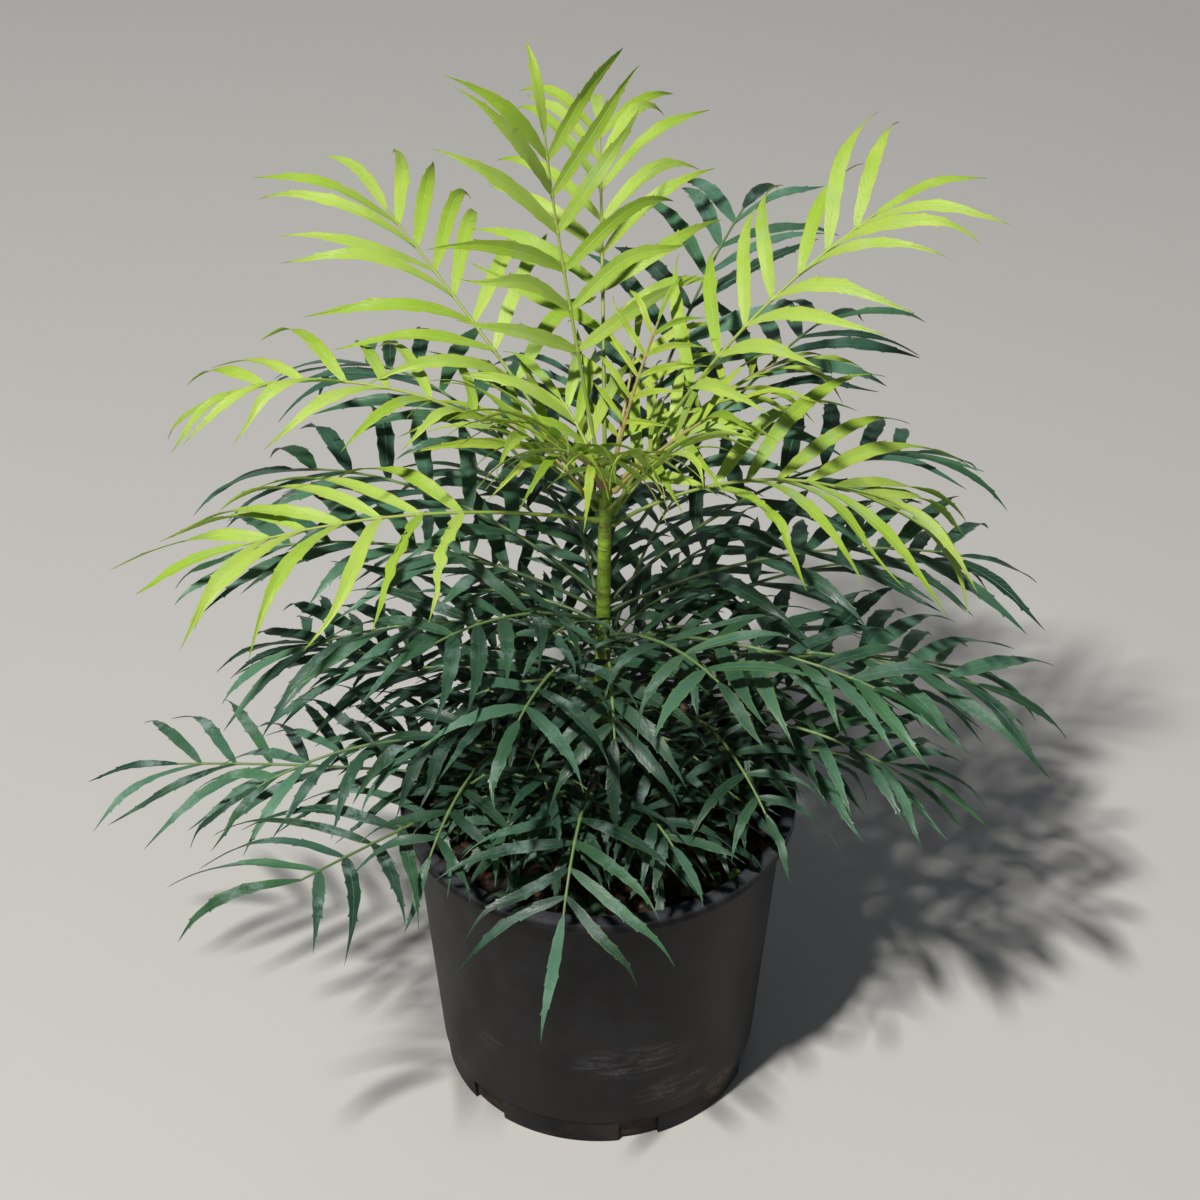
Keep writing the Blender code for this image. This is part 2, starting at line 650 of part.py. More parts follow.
class Skin:
    """Points and outward triangles of one frond, laid ring by ring."""

    def __init__(self):
        self.points = []
        self.faces = []

    def ring(self, section):
        self.points.extend(section)
        return tuple(range(len(self.points) - 3, len(self.points)))

    def join(self, near, far, open_sides=()):
        """Walls between two rings: the top, then the right and the left unless a leaf opens them."""
        for i, j, side in ((0, 1, 0), (1, 2, 1), (2, 0, -1)):
            if side == 0 or side not in open_sides:
                self.faces += folded(self.points, near[i], near[j], far[j], far[i])

    def bridge(self, top_a, top_b, low_b, low_a, ring):
        """Carries the four corners of an opening in the rachis to a leaflet's three-sided foot."""
        edge_a, edge_b, keel = ring
        self.faces += folded(self.points, top_a, top_b, edge_b, edge_a)
        self.faces += folded(self.points, top_b, low_b, keel, edge_b)
        self.faces += folded(self.points, low_a, top_a, edge_a, keel)
        self.faces.append((low_b, low_a, keel))

    def blade(self, leaf, sections, ring):
        """Carries a blade from its first ring to its point."""
        for section in sections:
            following = self.ring(section)
            self.join(ring, following)
            ring = following
        self.points.append(leaf.tip())
        point = len(self.points) - 1
        self.faces += [(ring[i], ring[(i + 1) % 3], point) for i in range(3)]


def build_frond(rachis, grown, surface):
    """One closed solid: a three-sided rachis whose sides open into the feet of the leaflets."""
    frond = rachis.frond
    skin = Skin()
    half_joint = JOINT_LENGTH / 2 / rachis.length
    last = skin.ring(rachis.section(0.0, FOOT_SWELL))
    skin.faces.append(last[::-1])
    for stop in BARE_RINGS:
        ring = skin.ring(rachis.section(stop * rachis_share(frond, pair_span(frond, 0))))
        skin.join(last, ring)
        last = ring
    for pair in range(frond.pairs):
        share = rachis_share(frond, pair_span(frond, pair))
        sides = [side for side in (-1, 1) if (pair, side) in grown]
        near = skin.ring(rachis.section(share - half_joint, JOINT_SWELL))
        far = skin.ring(rachis.section(share + half_joint, JOINT_SWELL))
        skin.join(last, near)
        skin.join(near, far, sides)
        for side in sides:
            leaf = grown[pair, side]
            foot, *rest = leaf.sections(leaf.age.stations)
            ring = skin.ring(foot)
            if side == 1:
                skin.bridge(far[1], near[1], near[2], far[2], ring)
            else:
                skin.bridge(near[0], far[0], far[2], near[2], ring)
            skin.blade(leaf, rest, ring)
        last = far
    end = skin.ring(rachis.section(1.0))
    skin.join(last, end)
    leaf = grown.get((frond.pairs, 0))
    if leaf:
        skin.blade(leaf, leaf.sections(leaf.age.stations), end)
    else:
        skin.faces.append(end)
    return add_object(f"frond_{frond.name}", skin.points, skin.faces, surface)


def clear_scene():
    for thing in list(bpy.data.objects):
        bpy.data.objects.remove(thing, do_unlink=True)


def mesh_shell(thing):
    """Points and faces of an object's own mesh, before its Booleans."""
    points = [vertex.co for vertex in thing.data.vertices]
    return points, [tuple(face.vertices) for face in thing.data.polygons]


def main():
    clear_scene()
    plastic = material("pot_plastic", (0.035, 0.035, 0.038), 0.55)
    earth = material("soil", (0.045, 0.030, 0.020), 0.95)
    green_bark = material("young_cane", (0.22, 0.30, 0.05), 0.50)
    brown_bark = material("old_cane", (0.16, 0.11, 0.06), 0.75)
    leaf_surfaces = {
        name: material(f"{name}_frond", age.colour, 0.40) for name, age in AGES.items()
    }
    clearing = Clearing()
    pot = build_pot(plastic)
    clearing.add(*mesh_shell(pot), pot.name)
    soil = build_soil(earth)
    clearing.add(*mesh_shell(soil), soil.name)
    for cane in CANES:
        made = build_cane(cane, green_bark if cane is CANES[0] else brown_bark)
        clearing.add(*mesh_shell(made), made.name)
    rachises = [place_rachis(frond, clearing) for frond in FRONDS]
    for rachis in rachises:
        grown = grow_leaflets(rachis, clearing)
        build_frond(rachis, grown, leaf_surfaces[rachis.frond.age])


main()
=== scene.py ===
"""The potted mahonia, dressed: fine fronds over the plain ones, a scuffed pot and bark mix.

Every fine frond follows the line of the CAD frond that it replaces. The growth rule is the same
as in the part, and the bend of each leaflet is the one whose tip the CAD frond has.
"""

import math
from collections import namedtuple
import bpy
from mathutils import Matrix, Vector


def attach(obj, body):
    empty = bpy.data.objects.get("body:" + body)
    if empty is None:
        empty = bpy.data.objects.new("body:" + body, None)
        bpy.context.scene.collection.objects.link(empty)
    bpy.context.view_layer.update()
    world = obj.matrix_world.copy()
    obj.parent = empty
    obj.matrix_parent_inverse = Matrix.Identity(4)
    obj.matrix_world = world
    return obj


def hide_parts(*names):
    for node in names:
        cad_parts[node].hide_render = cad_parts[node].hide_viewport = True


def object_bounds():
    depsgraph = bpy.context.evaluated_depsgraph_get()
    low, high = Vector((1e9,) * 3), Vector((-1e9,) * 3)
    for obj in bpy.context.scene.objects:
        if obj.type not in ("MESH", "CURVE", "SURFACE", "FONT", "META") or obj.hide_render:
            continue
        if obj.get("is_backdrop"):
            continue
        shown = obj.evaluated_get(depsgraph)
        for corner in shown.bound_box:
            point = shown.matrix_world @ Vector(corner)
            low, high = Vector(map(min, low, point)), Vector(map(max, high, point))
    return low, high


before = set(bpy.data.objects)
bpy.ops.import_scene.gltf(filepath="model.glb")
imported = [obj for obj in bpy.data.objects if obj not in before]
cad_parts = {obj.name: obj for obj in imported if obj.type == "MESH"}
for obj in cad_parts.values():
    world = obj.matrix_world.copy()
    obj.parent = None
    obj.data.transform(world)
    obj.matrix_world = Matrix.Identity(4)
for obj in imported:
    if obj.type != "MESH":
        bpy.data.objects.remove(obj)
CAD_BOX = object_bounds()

from copy import copy

import bmesh
import bpy
import numpy as np
from mathutils import Matrix, Vector, noise
from mathutils.kdtree import KDTree

# Camera, floor and lights
CAMERA_PLACE = (0.0013, -1.529, 1.498)
CAMERA_PITCH = math.radians(35.65)
CAMERA_LENS = 84
FLOOR_SIZE = 14.0
AIM = (0, 0, 0.35)
SKY = (0.84, 0.90, 1.0, 1.0)
SKY_STRENGTH = 0.085
# Lights: name, place, width, power and colour
LIGHTS = (
    ("key", (-1.45, -2.21, 5.02), 0.34, 318, (1.0, 0.975, 0.93)),
    ("fill", (1.9, -2.2, 1.6), 1.8, 1.0, (0.92, 0.96, 1.0)),
    ("back", (0.6, 3.2, 3.0), 2.0, 4.0, (0.95, 0.97, 1.0)),
)

# Pot and soil, as in the part
POT_BASE_RADIUS = 0.1125
POT_NECK_RADIUS = 0.132
POT_RIM_RADIUS = 0.140
POT_HEIGHT = 0.235
LIP_INNER_RADIUS = 0.1295
FOOT_STEP_HEIGHT = 0.022
POT_WALL = 0.002
POT_FLOOR = 0.003
NECK_HEIGHT = 0.2265
SOIL_TOP = 0.206
SOIL_MOUND = 0.006
GAP = 0.0003
# How finely the pot is rounded, and the notches in its base, the first at an angle in degrees
POT_SIDES = 192
NOTCHES = 6
NOTCH_SIZE = (0.016, 0.030, 0.036, 1)
FIRST_NOTCH = -75

Cane = namedtuple("Cane", "name foot head foot_radius head_radius")
CANES = (
    Cane("cane_main", (0.002, 0.004), (0.005, 0.000, 0.503), 0.0062, 0.0040),
    Cane("cane_left", (-0.036, -0.006), (-0.058, -0.016, 0.300), 0.0042, 0.0030),
    Cane("cane_right", (0.036, 0.006), (0.060, 0.002, 0.310), 0.0042, 0.0030),
    Cane("cane_front", (0.004, -0.036), (-0.002, -0.060, 0.300), 0.0040, 0.0028),
    Cane("cane_back", (0.004, 0.042), (0.000, 0.064, 0.330), 0.0042, 0.0030),
)
CANE_LEAN_CURVE = 1.3
NODE_SWELL = 1.10
# How deep the canes reach into the soil, the spacing of their rings, and the scales at the tip
CANE_SOCKET = 0.044
CANE_STEP = 0.0011
BUD_SCALES = 9

# The growth rule, as in the part
Age = namedtuple("Age", "width base_angle tip_angle lift droop bare")
AGES = {
    "lime": Age(0.0102, 60, 34, 26, 1.20, 0.34),
    "new": Age(0.0076, 62, 40, 20, 1.40, 0.28),
    "dark": Age(0.0122, 62, 38, 16, 0.85, 0.22),
}
Habit = namedtuple("Habit", "opening skew slimness end_turn", defaults=(0.0, 0.0, 1.0, 0.0))
USUAL = Habit()
HABITS = {
    "lime_right": Habit(skew=13),
    "lime_left": Habit(skew=-14),
    "dark_front_left": Habit(opening=8),
    "dark_front_left_2": Habit(opening=6),
    "dark_front_right": Habit(opening=12),
    "low_left_1": Habit(slimness=0.74),
    "low_left_2": Habit(opening=4, slimness=0.78, end_turn=22),
    "low_left_3": Habit(slimness=0.82),
    "low_left_4": Habit(slimness=0.86),
    "low_left_6": Habit(opening=12, slimness=0.84),
    "low_right_1": Habit(slimness=0.80),
    "low_right_3": Habit(slimness=0.82),
    "low_right_6": Habit(opening=12, slimness=0.84),
    "low_front_1": Habit(opening=10, slimness=0.74),
}
TERMINAL_SIZE = 0.78
Frond = namedtuple(
    "Frond",
    "name age cane z az rise fall length sway roll pairs leaflet terminal",
    defaults=(TERMINAL_SIZE,),
)
# Fronds, under the start of their names, their age and their cane. Lengths are in millimetres and
# angles in degrees.
FROND_ROWS = {
    ("lime", "lime", 0): (
        ("top", 490, 109, 57, 80, 232, 16, 0, 6, 110, 0.58),
        ("back", 484, 105, 62, 10, 280, 0, 0, 7, 104),
        ("upper_left", 478, 131, 34, 18, 265, -6, 0, 7, 118),
        ("upper_right", 472, 22, 63, 28, 260, 0, 0, 7, 114),
        ("right", 462, 8, 32, -30, 185, 0, 6, 6, 132),
        ("left", 466, 187, 14, -14, 232, 0, -8, 6, 118),
        ("back_left", 474, 166, 50, -20, 262, 6, 0, 6, 90),
    ),
    ("new", "new", 0): (
        ("right", 488, 33, 30, -5, 168, 3, 0, 5, 72),
        ("front", 496, 244, 63, 30, 80, 0, 0, 5, 90),
        ("upright", 499, 50, 72, 56, 105, 0, 0, 5, 50),
    ),
    ("dark", "dark", 0): (
        ("top_right", 440, 66, 51, 1, 297, 4, 0, 7, 100),
        ("right_1", 424, 48, 38, -15, 300, 15, 0, 7, 100),
        ("right_2", 400, 30, 34, -22, 270, 5, 0, 6, 98),
        ("right_3", 392, 8, 26, -20, 250, 5, 0, 6, 104),
        ("right_4", 360, 26, 16, -26, 275, 8, 0, 6, 96),
        ("right_5", 342, 352, 22, -22, 255, 8, 0, 6, 108),
        ("right_6", 318, 16, 10, -30, 280, 8, 0, 6, 100),
        ("right_7", 372, 334, 22, -15, 190, 6, 0, 6, 90),
        ("left_1", 430, 133, 40, -28, 288, -5, 0, 7, 104),
        ("left_2", 404, 152, 32, -20, 250, 0, 0, 6, 100),
        ("left_3", 372, 182, 16, -20, 200, 0, 0, 6, 96),
        ("left_4", 330, 164, -2, -20, 190, -5, 0, 6, 92),
        ("left_5", 312, 206, 30, -20, 134, 3, 0, 5, 80),
        ("left_6", 394, 168, 26, -16, 235, 4, 0, 6, 100),
        ("front_left", 364, 244, 34, -4, 143, 8, 0, 5, 84),
        ("front_left_2", 385, 216, 38, -2, 140, 5, 0, 5, 88),
        ("front_right", 375, 308, 34, 0, 132, -8, 0, 4, 82),
        ("front", 380, 274, 26, -45, 106, 0, 0, 5, 80),
        ("back_1", 412, 95, 32, -20, 240, 0, 0, 6, 96),
        ("back_2", 382, 116, 20, -26, 225, -4, 0, 6, 96),
        ("back_3", 350, 74, 16, -24, 230, 4, 0, 6, 96),
    ),
    ("low_left", "dark", 1): (
        ("1", 250, 172, 2, -12, 260, -6, 0, 7, 104),
        ("2", 266, 221, 4, 14, 210, 13, 0, 6, 102, 1.02),
        ("3", 286, 193, 28, -26, 185, 4, 0, 6, 80),
        ("4", 296, 148, 24, -24, 200, -4, 0, 6, 84),
        ("5", 240, 258, 42, -10, 92, 6, 0, 5, 56),
        ("6", 292, 244, 34, -30, 140, 6, 0, 5, 66),
    ),
    ("low_right", "dark", 2): (
        ("1", 262, 352, 20, -18, 166, 8, 0, 5, 98),
        ("2", 290, 22, 16, -34, 200, 6, 0, 6, 84),
        ("3", 300, 335, 26, -26, 160, 4, 0, 5, 78),
        ("4", 275, 58, 18, -26, 180, 4, 0, 6, 82),
        ("5", 246, 314, 42, -10, 92, -4, 0, 5, 56),
        ("6", 304, 292, 36, -30, 130, 4, 0, 5, 64),
    ),
    ("low_front", "dark", 3): (
        ("1", 296, 260, 30, -50, 126, 0, 0, 5, 90, 0.92),
        ("2", 288, 304, 36, -20, 94, -4, 0, 5, 58),
        ("3", 280, 222, 38, -16, 92, 4, 0, 5, 56),
        ("4", 254, 338, 34, -16, 84, -6, 0, 4, 54),
        ("5", 262, 186, 38, -18, 86, 4, 0, 4, 54),
    ),
    ("low_back", "dark", 4): (
        ("1", 326, 96, 24, -26, 205, 4, 0, 6, 88),
        ("2", 304, 62, 20, -26, 195, -4, 0, 6, 84),
        ("3", 314, 132, 22, -26, 200, 4, 0, 6, 86),
        ("4", 276, 106, 14, -26, 175, -4, 0, 5, 78),
        ("5", 290, 160, 18, -28, 170, 4, 0, 5, 76),
    ),
}
FRONDS = tuple(
    Frond(f"{start}_{end}", age, cane, *row)
    for (start, age, cane), rows in FROND_ROWS.items()
    for end, *row in rows
)
STALK_RADIUS = 0.0017
TIP_RADIUS = 0.0009
FOOT_SWELL = 1.3
FOOT_OVERHANG = 0.3
RACHIS_STEPS = 24
FIRST_CORNER = math.radians(150)
FIRST_PAIR = 0.3
PAIR_CROWDING = 0.92
BASAL_SIZE = 0.86
MIDDLE_EXTRA = 0.16
SIZE_DRAW = (0.92, 1.06)
ANGLE_DRAW = 7
LIFT_DRAW = 11
DROOP_DRAW = 0.3
TERMINAL_DRAW = 6
DROOP_CURVE = 1.6
GRAVITY_SHARE = 0.6
FULL_LEAFLET = 0.104
SHORT_WIDTH = 0.2
BLADE_STEPS = 20
STALK_TURNS = (0, 7, -7, 14, -14, 21, -21, 28, -28)
SWINGS_AND_LIFTS = [
    (swing * step, lift * step)
    for step in (1, 2)
    for swing, lift in ((0, 9), (0, -9), (7, 0), (-7, 0), (7, 7), (-7, -7), (7, -7), (-7, 7))
]
LEAFLET_BENDS = [
    (swing, lift, shrink)
    for shrink in (1.0, 0.88, 0.76, 0.64, 0.52)
    for swing, lift in [(0, 0), *SWINGS_AND_LIFTS]
]
SAME_POINT = 0.00003

# Fine leaflets: where their rings stand, their teeth, and their thickness
STATIONS = (0, 0.02, 0.05, 0.09, 0.14, 0.2, 0.27, 0.34, 0.41, 0.48, 0.55, 0.62, 0.69, 0.75)
STATIONS += (0.8, 0.85, 0.9, 0.94, 0.97)
STATION_GAP = 0.003
LAST_STATION = 0.985
TOOTHED = (0.30, 0.90)
TOOTH_BACK = 0.0042
TOOTH_FRONT = 0.0008
TOOTH_STEEP = 0.35
TOOTH_RISE = 0.28
TOOTH_REACH = (0.0006, 0.0015)
TOOTH_LEAN = 0.0012
LONG_LEAFLET = 0.07
WIDE_LEAFLET = 0.008
BITES = 9
BITE_STEPS = (-1.6, -0.9, -0.4, 0.4, 0.9, 1.6)
BLADE_THICKNESS = 0.0004
MIDRIB_GROOVE = 0.0001
MIDRIB_DEPTH = 0.0005
BLADE_ARCH = 0.0002
BLADE_UNDER = (0, 0, 0, 0, 0, 1, 1, 1)

# How far leaflets stray from the plain ones: ripple as a share of their width, twist in degrees,
# and the rest as shares of their length
HOOK_START = 0.72
HOOK_REACH = 0.08
RIPPLE = 0.07
SWAY = 0.075
TWIST = 24

# Stalk of a fine frond: how much slimmer it is, and its swollen foot and joints
SLIMMER = 0.84
STALK_SIDES = 10
RACHIS_PLACES = 30
FOOT_REACH = 0.004
FOOT_SUNK = 0.0028
JOINT_REACH = 0.0018
JOINT_STEP = 0.0016

# Turn from one leaf or scale to the next, in degrees and roughly in radians, and from one cane's
# sprigs to the next cane's
GOLDEN_TURN = 137.5
GOLDEN_ANGLE = 2.4
CANE_TURN = 40

# What lies and grows on the soil
CRUMBS = 1150
CHIPS = 190
FALLEN = 18
FALLEN_WIDTH = 0.0085
LITTER_MARGIN = 0.006
# Seedlings: x, y, number of leaves and height
SEEDLINGS = (
    (-0.110, 0.016, 7, 0.010), (-0.108, -0.008, 6, 0.008), (-0.114, 0.004, 5, 0.007),
    (-0.098, 0.004, 4, 0.006), (0.088, -0.078, 6, 0.036), (0.030, -0.104, 4, 0.009),
)

# The leaflets that something has bitten, by their number in the frond, as the photograph shows them
BITTEN = {"lime_left": (0, 2), "lime_right": (1,), "crown_2": (0, 3)}

# How dusty some fronds are, which also sets their painted sheen, and how yellowed, from 0 to 1, as
# the photograph shows them
DUSTY_AND_SHEENED = {
    "low_left_2": 0.9, "low_left_1": 0.7, "low_left_5": 0.6, "low_left_3": 0.5,
    "dark_front_left": 0.55, "dark_front_left_2": 0.5, "low_front_1": 0.45, "dark_left_5": 0.45,
}
YELLOWED = {"dark_front_right": 0.28, "low_right_6": 0.25, "dark_right_7": 0.15, "low_left_6": 0.15}

UP = np.array([0.0, 0.0, 1.0])


def unit(vector):
    return vector / np.linalg.norm(vector, axis=-1, keepdims=True)


def level(angle):
    """A level direction, at an angle from +X."""
    return np.array([math.cos(angle), math.sin(angle), 0.0])


def circle(sides):
    """Angles evenly round a circle."""
    return 2 * math.pi * np.arange(sides) / sides


def cane_point(cane, height):
    share = (height - SOIL_TOP) / (cane.head[2] - SOIL_TOP)
    lean = max(share, 0.0) ** CANE_LEAN_CURVE
    foot = np.array(cane.foot)
    x, y = foot + (np.array(cane.head[:2]) - foot) * lean
    return np.array([x, y, height])


def cane_radius(cane, height):
    share = min(max((height - SOIL_TOP) / (cane.head[2] - SOIL_TOP), 0.0), 1.0)
    return cane.foot_radius + (cane.head_radius - cane.foot_radius) * share


class Rachis:
    """The curved line of one frond, with a frame of directions along it."""

    def __init__(self, frond, turn=0.0):
        self.frond = frond
        self.length = frond.length / 1000
        cane = CANES[frond.cane]
        height = frond.z / 1000
        self.outward = level(math.radians(frond.az + turn))
        start_slope = math.radians(frond.rise)
        reach = cane_radius(cane, height) * NODE_SWELL + GAP
        reach += STALK_RADIUS * (abs(math.sin(start_slope)) + FOOT_OVERHANG)
        self.turn = turn
        points = [cane_point(cane, height) + self.outward * reach]
        for step in range(RACHIS_STEPS):
            tangent = self.frame((step + 0.5) / RACHIS_STEPS)[0]
            points.append(points[-1] + tangent * self.length / RACHIS_STEPS)
        self.points = np.array(points)

    def frame(self, share):
        """Directions along the rachis, out of its upper side, and to its right."""
        frond = self.frond
        slope = math.radians(frond.rise + (frond.fall - frond.rise) * share)
        flat = level(math.radians(frond.az + self.turn + frond.sway * share))
        along = flat * math.cos(slope) + UP * math.sin(slope)
        above = UP * math.cos(slope) - flat * math.sin(slope)
        right = np.cross(along, above)
        roll = math.radians(frond.roll)
        rolled = above * math.cos(roll) + right * math.sin(roll)
        return along, rolled, np.cross(along, rolled)

    def at(self, share):
        place = min(max(share, 0.0), 1.0) * RACHIS_STEPS
        index = min(int(place), RACHIS_STEPS - 1)
        return self.points[index] + (self.points[index + 1] - self.points[index]) * (place - index)

    def radius(self, share):
        return STALK_RADIUS + (TIP_RADIUS - STALK_RADIUS) * share

    def first_corner(self):
        """The first corner of the CAD frond's foot."""
        _, above, right = self.frame(0.0)
        reach = self.radius(0.0) * FOOT_SWELL
        out = right * math.cos(FIRST_CORNER) + above * math.sin(FIRST_CORNER)
        return self.at(0.0) + out * reach


def blade_shape(share):
    """Width of a narrow leaflet as a share of its widest, from its foot to its drawn-out tip."""
    return 2.38 * share**0.5 * (1 - share) ** 0.8


class Leaflet:
    """One leaflet: where it starts, which way it goes and how it arches."""

    def __init__(self, rachis, share, side, length, rng):
        self.rachis = rachis
        self.share = share
        self.side = side
        self.length = length
        self.age = AGES[rachis.frond.age]
        span = (share - self.age.bare) / (1 - self.age.bare)
        self.angle = self.age.base_angle + (self.age.tip_angle - self.age.base_angle) * span
        self.angle += rng.uniform(-ANGLE_DRAW, ANGLE_DRAW)
        habit = HABITS.get(rachis.frond.name, USUAL)
        self.angle += habit.opening + habit.skew * side
        self.slimness = habit.slimness
        self.lift = self.age.lift + rng.uniform(-LIFT_DRAW, LIFT_DRAW)
        self.droop = self.age.droop * rng.uniform(1 - DROOP_DRAW, 1 + DROOP_DRAW)
        if side == 0:
            self.angle = habit.end_turn + rng.uniform(-TERMINAL_DRAW, TERMINAL_DRAW)
            self.lift = 0.0

    def bent(self, turn, lift, shrink):
        leaf = copy(self)
        leaf.angle += turn
        leaf.lift += lift
        leaf.length *= shrink
        return leaf

    def path(self):
        """Centre points at each step of the length, and the width's direction."""
        along, above, right = self.rachis.frame(self.share)
        angle = math.radians(self.angle)
        lift = math.radians(self.lift)
        sideways = right * (self.side or 1) * math.cos(lift) + above * math.sin(lift)
        across = -along * self.side if self.side else right
        first = along * math.cos(angle) + sideways * math.sin(angle)
        weight = np.array([0.0, 0.0, -self.droop * GRAVITY_SHARE])
        weight -= above * self.droop * (1 - GRAVITY_SHARE)
        steps = np.arange(BLADE_STEPS + 1) / BLADE_STEPS
        ways = unit(first + weight * steps[:, None] ** DROOP_CURVE)
        travelled = np.cumsum(ways[:-1], axis=0) * self.length / BLADE_STEPS
        centres = self.rachis.at(self.share) + np.vstack([np.zeros(3), travelled])
        return centres, across

    def width(self):
        fullness = min(1.0, self.length / FULL_LEAFLET)
        return self.age.width * self.slimness * (SHORT_WIDTH + (1 - SHORT_WIDTH) * fullness)


def pair_span(frond, pair):
    return ((pair + FIRST_PAIR) / frond.pairs) ** PAIR_CROWDING


def rachis_share(frond, span):
    bare = AGES[frond.age].bare
    return bare + (1 - bare) * span


def wanted_leaflets(rachis):
    """The leaflets that the rule draws for a frond, before any is bent clear."""
    frond = rachis.frond
    rng = np.random.default_rng(sum(map(ord, frond.name)))
    spots = [(pair_span(frond, pair), side) for pair in range(frond.pairs) for side in (-1, 1)]
    for span, side in [*spots, (1.0, 0)]:
        size = frond.terminal
        if side:
            size = BASAL_SIZE + MIDDLE_EXTRA * math.sin(math.pi * span**0.8)
        length = frond.leaflet / 1000 * size * rng.uniform(*SIZE_DRAW)
        yield Leaflet(rachis, rachis_share(frond, span), side, length, rng)


def grown_frond(frond):
    """The stalk's turn and the leaflets' bends that the CAD frond has."""
    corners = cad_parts[f"frond_{frond.name}"].data.vertices
    tree = KDTree(len(corners))
    for index, corner in enumerate(corners):
        tree.insert(corner.co, index)
    tree.balance()

    def found(point):
        return tree.find(Vector(point))[2] < SAME_POINT

    stalks = (Rachis(frond, turn) for turn in STALK_TURNS)
    rachis = next(stalk for stalk in stalks if found(stalk.first_corner()))
    leaflets = []
    for wanted in wanted_leaflets(rachis):
        bends = (wanted.bent(*bend) for bend in LEAFLET_BENDS)
        leaf = next((leaf for leaf in bends if found(leaf.path()[0][-1])), None)
        if leaf:
            leaflets.append(leaf)
    return rachis, leaflets


def added(name, data):
    """A new object in the scene with this data."""
    thing = bpy.data.objects.new(name, data)
    bpy.context.scene.collection.objects.link(thing)
    return thing


class Form:
    """Points, faces and colour facts of one piece, gathered part by part."""

    def __init__(self):
        self.points = []
        self.faces = []
        self.facts = []
        self.surfaces = []
        self.count = 0

    def add(self, points, faces, facts, surface=0):
        """facts has two rows of three numbers for each point, or for all of them."""
        points = np.asarray(points, float).reshape(-1, 3)
        facts = np.broadcast_to(np.asarray(facts, float), (len(points), 6))
        self.points.append(points)
        self.facts.append(facts)
        for group in faces:
            self.faces.append(np.asarray(group) + self.count)
            self.surfaces.append(np.full(len(group), surface))
        self.count += len(points)

    def made(self, name, materials, sharp=50):
        points = np.concatenate(self.points)
        corners = np.concatenate([group.ravel() for group in self.faces])
        sizes = np.concatenate([np.full(len(group), group.shape[1]) for group in self.faces])
        mesh = bpy.data.meshes.new(name)
        mesh.vertices.add(len(points))
        mesh.vertices.foreach_set("co", points.ravel())
        mesh.loops.add(len(corners))
        mesh.loops.foreach_set("vertex_index", corners)
        mesh.polygons.add(len(sizes))
        mesh.polygons.foreach_set("loop_start", np.cumsum(sizes) - sizes)
        mesh.polygons.foreach_set("material_index", np.concatenate(self.surfaces))
        mesh.update(calc_edges=True)
        facts = np.concatenate(self.facts)
        for column, label in ((0, "place"), (3, "draw")):
            layer = mesh.attributes.new(label, "FLOAT_VECTOR", "POINT")
            layer.data.foreach_set("vector", facts[:, column:column + 3].ravel())
        mesh.shade_smooth()
        mesh.set_sharp_from_angle(angle=math.radians(sharp))
        for surface in materials:
            mesh.materials.append(surface)
        return added(name, mesh)


def tube_faces(rings, sides):
    """Faces of a closed tube: quads between its rings, then a fan at each end."""
    ring = np.arange(rings - 1)[:, None] * sides
    corner = np.arange(sides)
    following = (corner + 1) % sides
    quads = np.stack(
        [ring + corner, ring + following, ring + sides + following, ring + sides + corner],
        axis=-1,
    ).reshape(-1, 4)
    foot = rings * sides
    last = (rings - 1) * sides
    bottom = np.stack([following, corner, np.full(sides, foot)], axis=-1)
    top = np.stack([last + corner, last + following, np.full(sides, foot + 1)], axis=-1)
    return [quads, bottom, top]


def smooth_line(points, places):
    """Points at fractional places along a row of points, on a smooth curve through them."""
    padded = np.vstack([2 * points[0] - points[1], points, 2 * points[-1] - points[-2]])
    index = np.clip(np.floor(places).astype(int), 0, len(points) - 2)
    part = (places - index)[:, None]
    a, b, c, d = (padded[index + offset] for offset in range(4))
    return 0.5 * (
        2 * b + (c - a) * part + (2 * a - 5 * b + 4 * c - d) * part**2
        + (3 * b - a - 3 * c + d) * part**3
    )


def bump(places, middle, reach):
    return np.exp(-(((places - middle) / reach) ** 2))


def add_rings(form, rings, ends, along, across, facts, surface=0, under=0):
    """A closed tube of rings with a point at each end.

    along says how far each ring is along the tube, and across and under where each corner is.
    """
    count, sides = rings.shape[:2]
    rows = np.zeros((count * sides + 2, 6))
    rows[:-2, 0] = np.repeat(along, sides)
    rows[-1, 0] = 1.0
    rows[:-2, 1] = np.tile(across, count)
    rows[:-2, 2] = np.tile(np.broadcast_to(under, sides), count)
    rows[:, 3:] = facts
    points = np.vstack([rings.reshape(-1, 3), *ends])
    form.add(points, tube_faces(count, sides), rows, surface)


def blade_line(centres, across, length, stations, sense, look):
    """A blade's points at its stations and its tip: bowed, swayed and hooked at the end."""
    line = smooth_line(centres, stations * (len(centres) - 1))
    bow = np.sin(math.pi * stations)[:, None] * length
    line = line + bow * (across * look.uniform(-0.03, 0.03) + UP * look.uniform(0.0, 0.02))
    hook = unit(across) * sense * look.uniform(0.1, 1.1) - UP * look.uniform(-0.2, 0.7)
    hook *= HOOK_REACH * length
    bends = look.uniform(1.1, 1.8)
    sway = (unit(across) * look.uniform(-1, 1) + UP * look.uniform(-0.5, 0.5)) * SWAY * length
    tip = centres[-1] + hook + sway * math.sin(math.pi * bends)
    if (tip < CAD_BOX[0]).any() or (tip > CAD_BOX[1]).any():
        hook, sway, tip = hook * 0, sway * 0, centres[-1]
    line = line + hook * np.clip((stations - HOOK_START) / (1 - HOOK_START), 0, 1)[:, None] ** 2
    line = line + sway * (np.sin(math.pi * bends * stations) * stations)[:, None]
    return line, tip


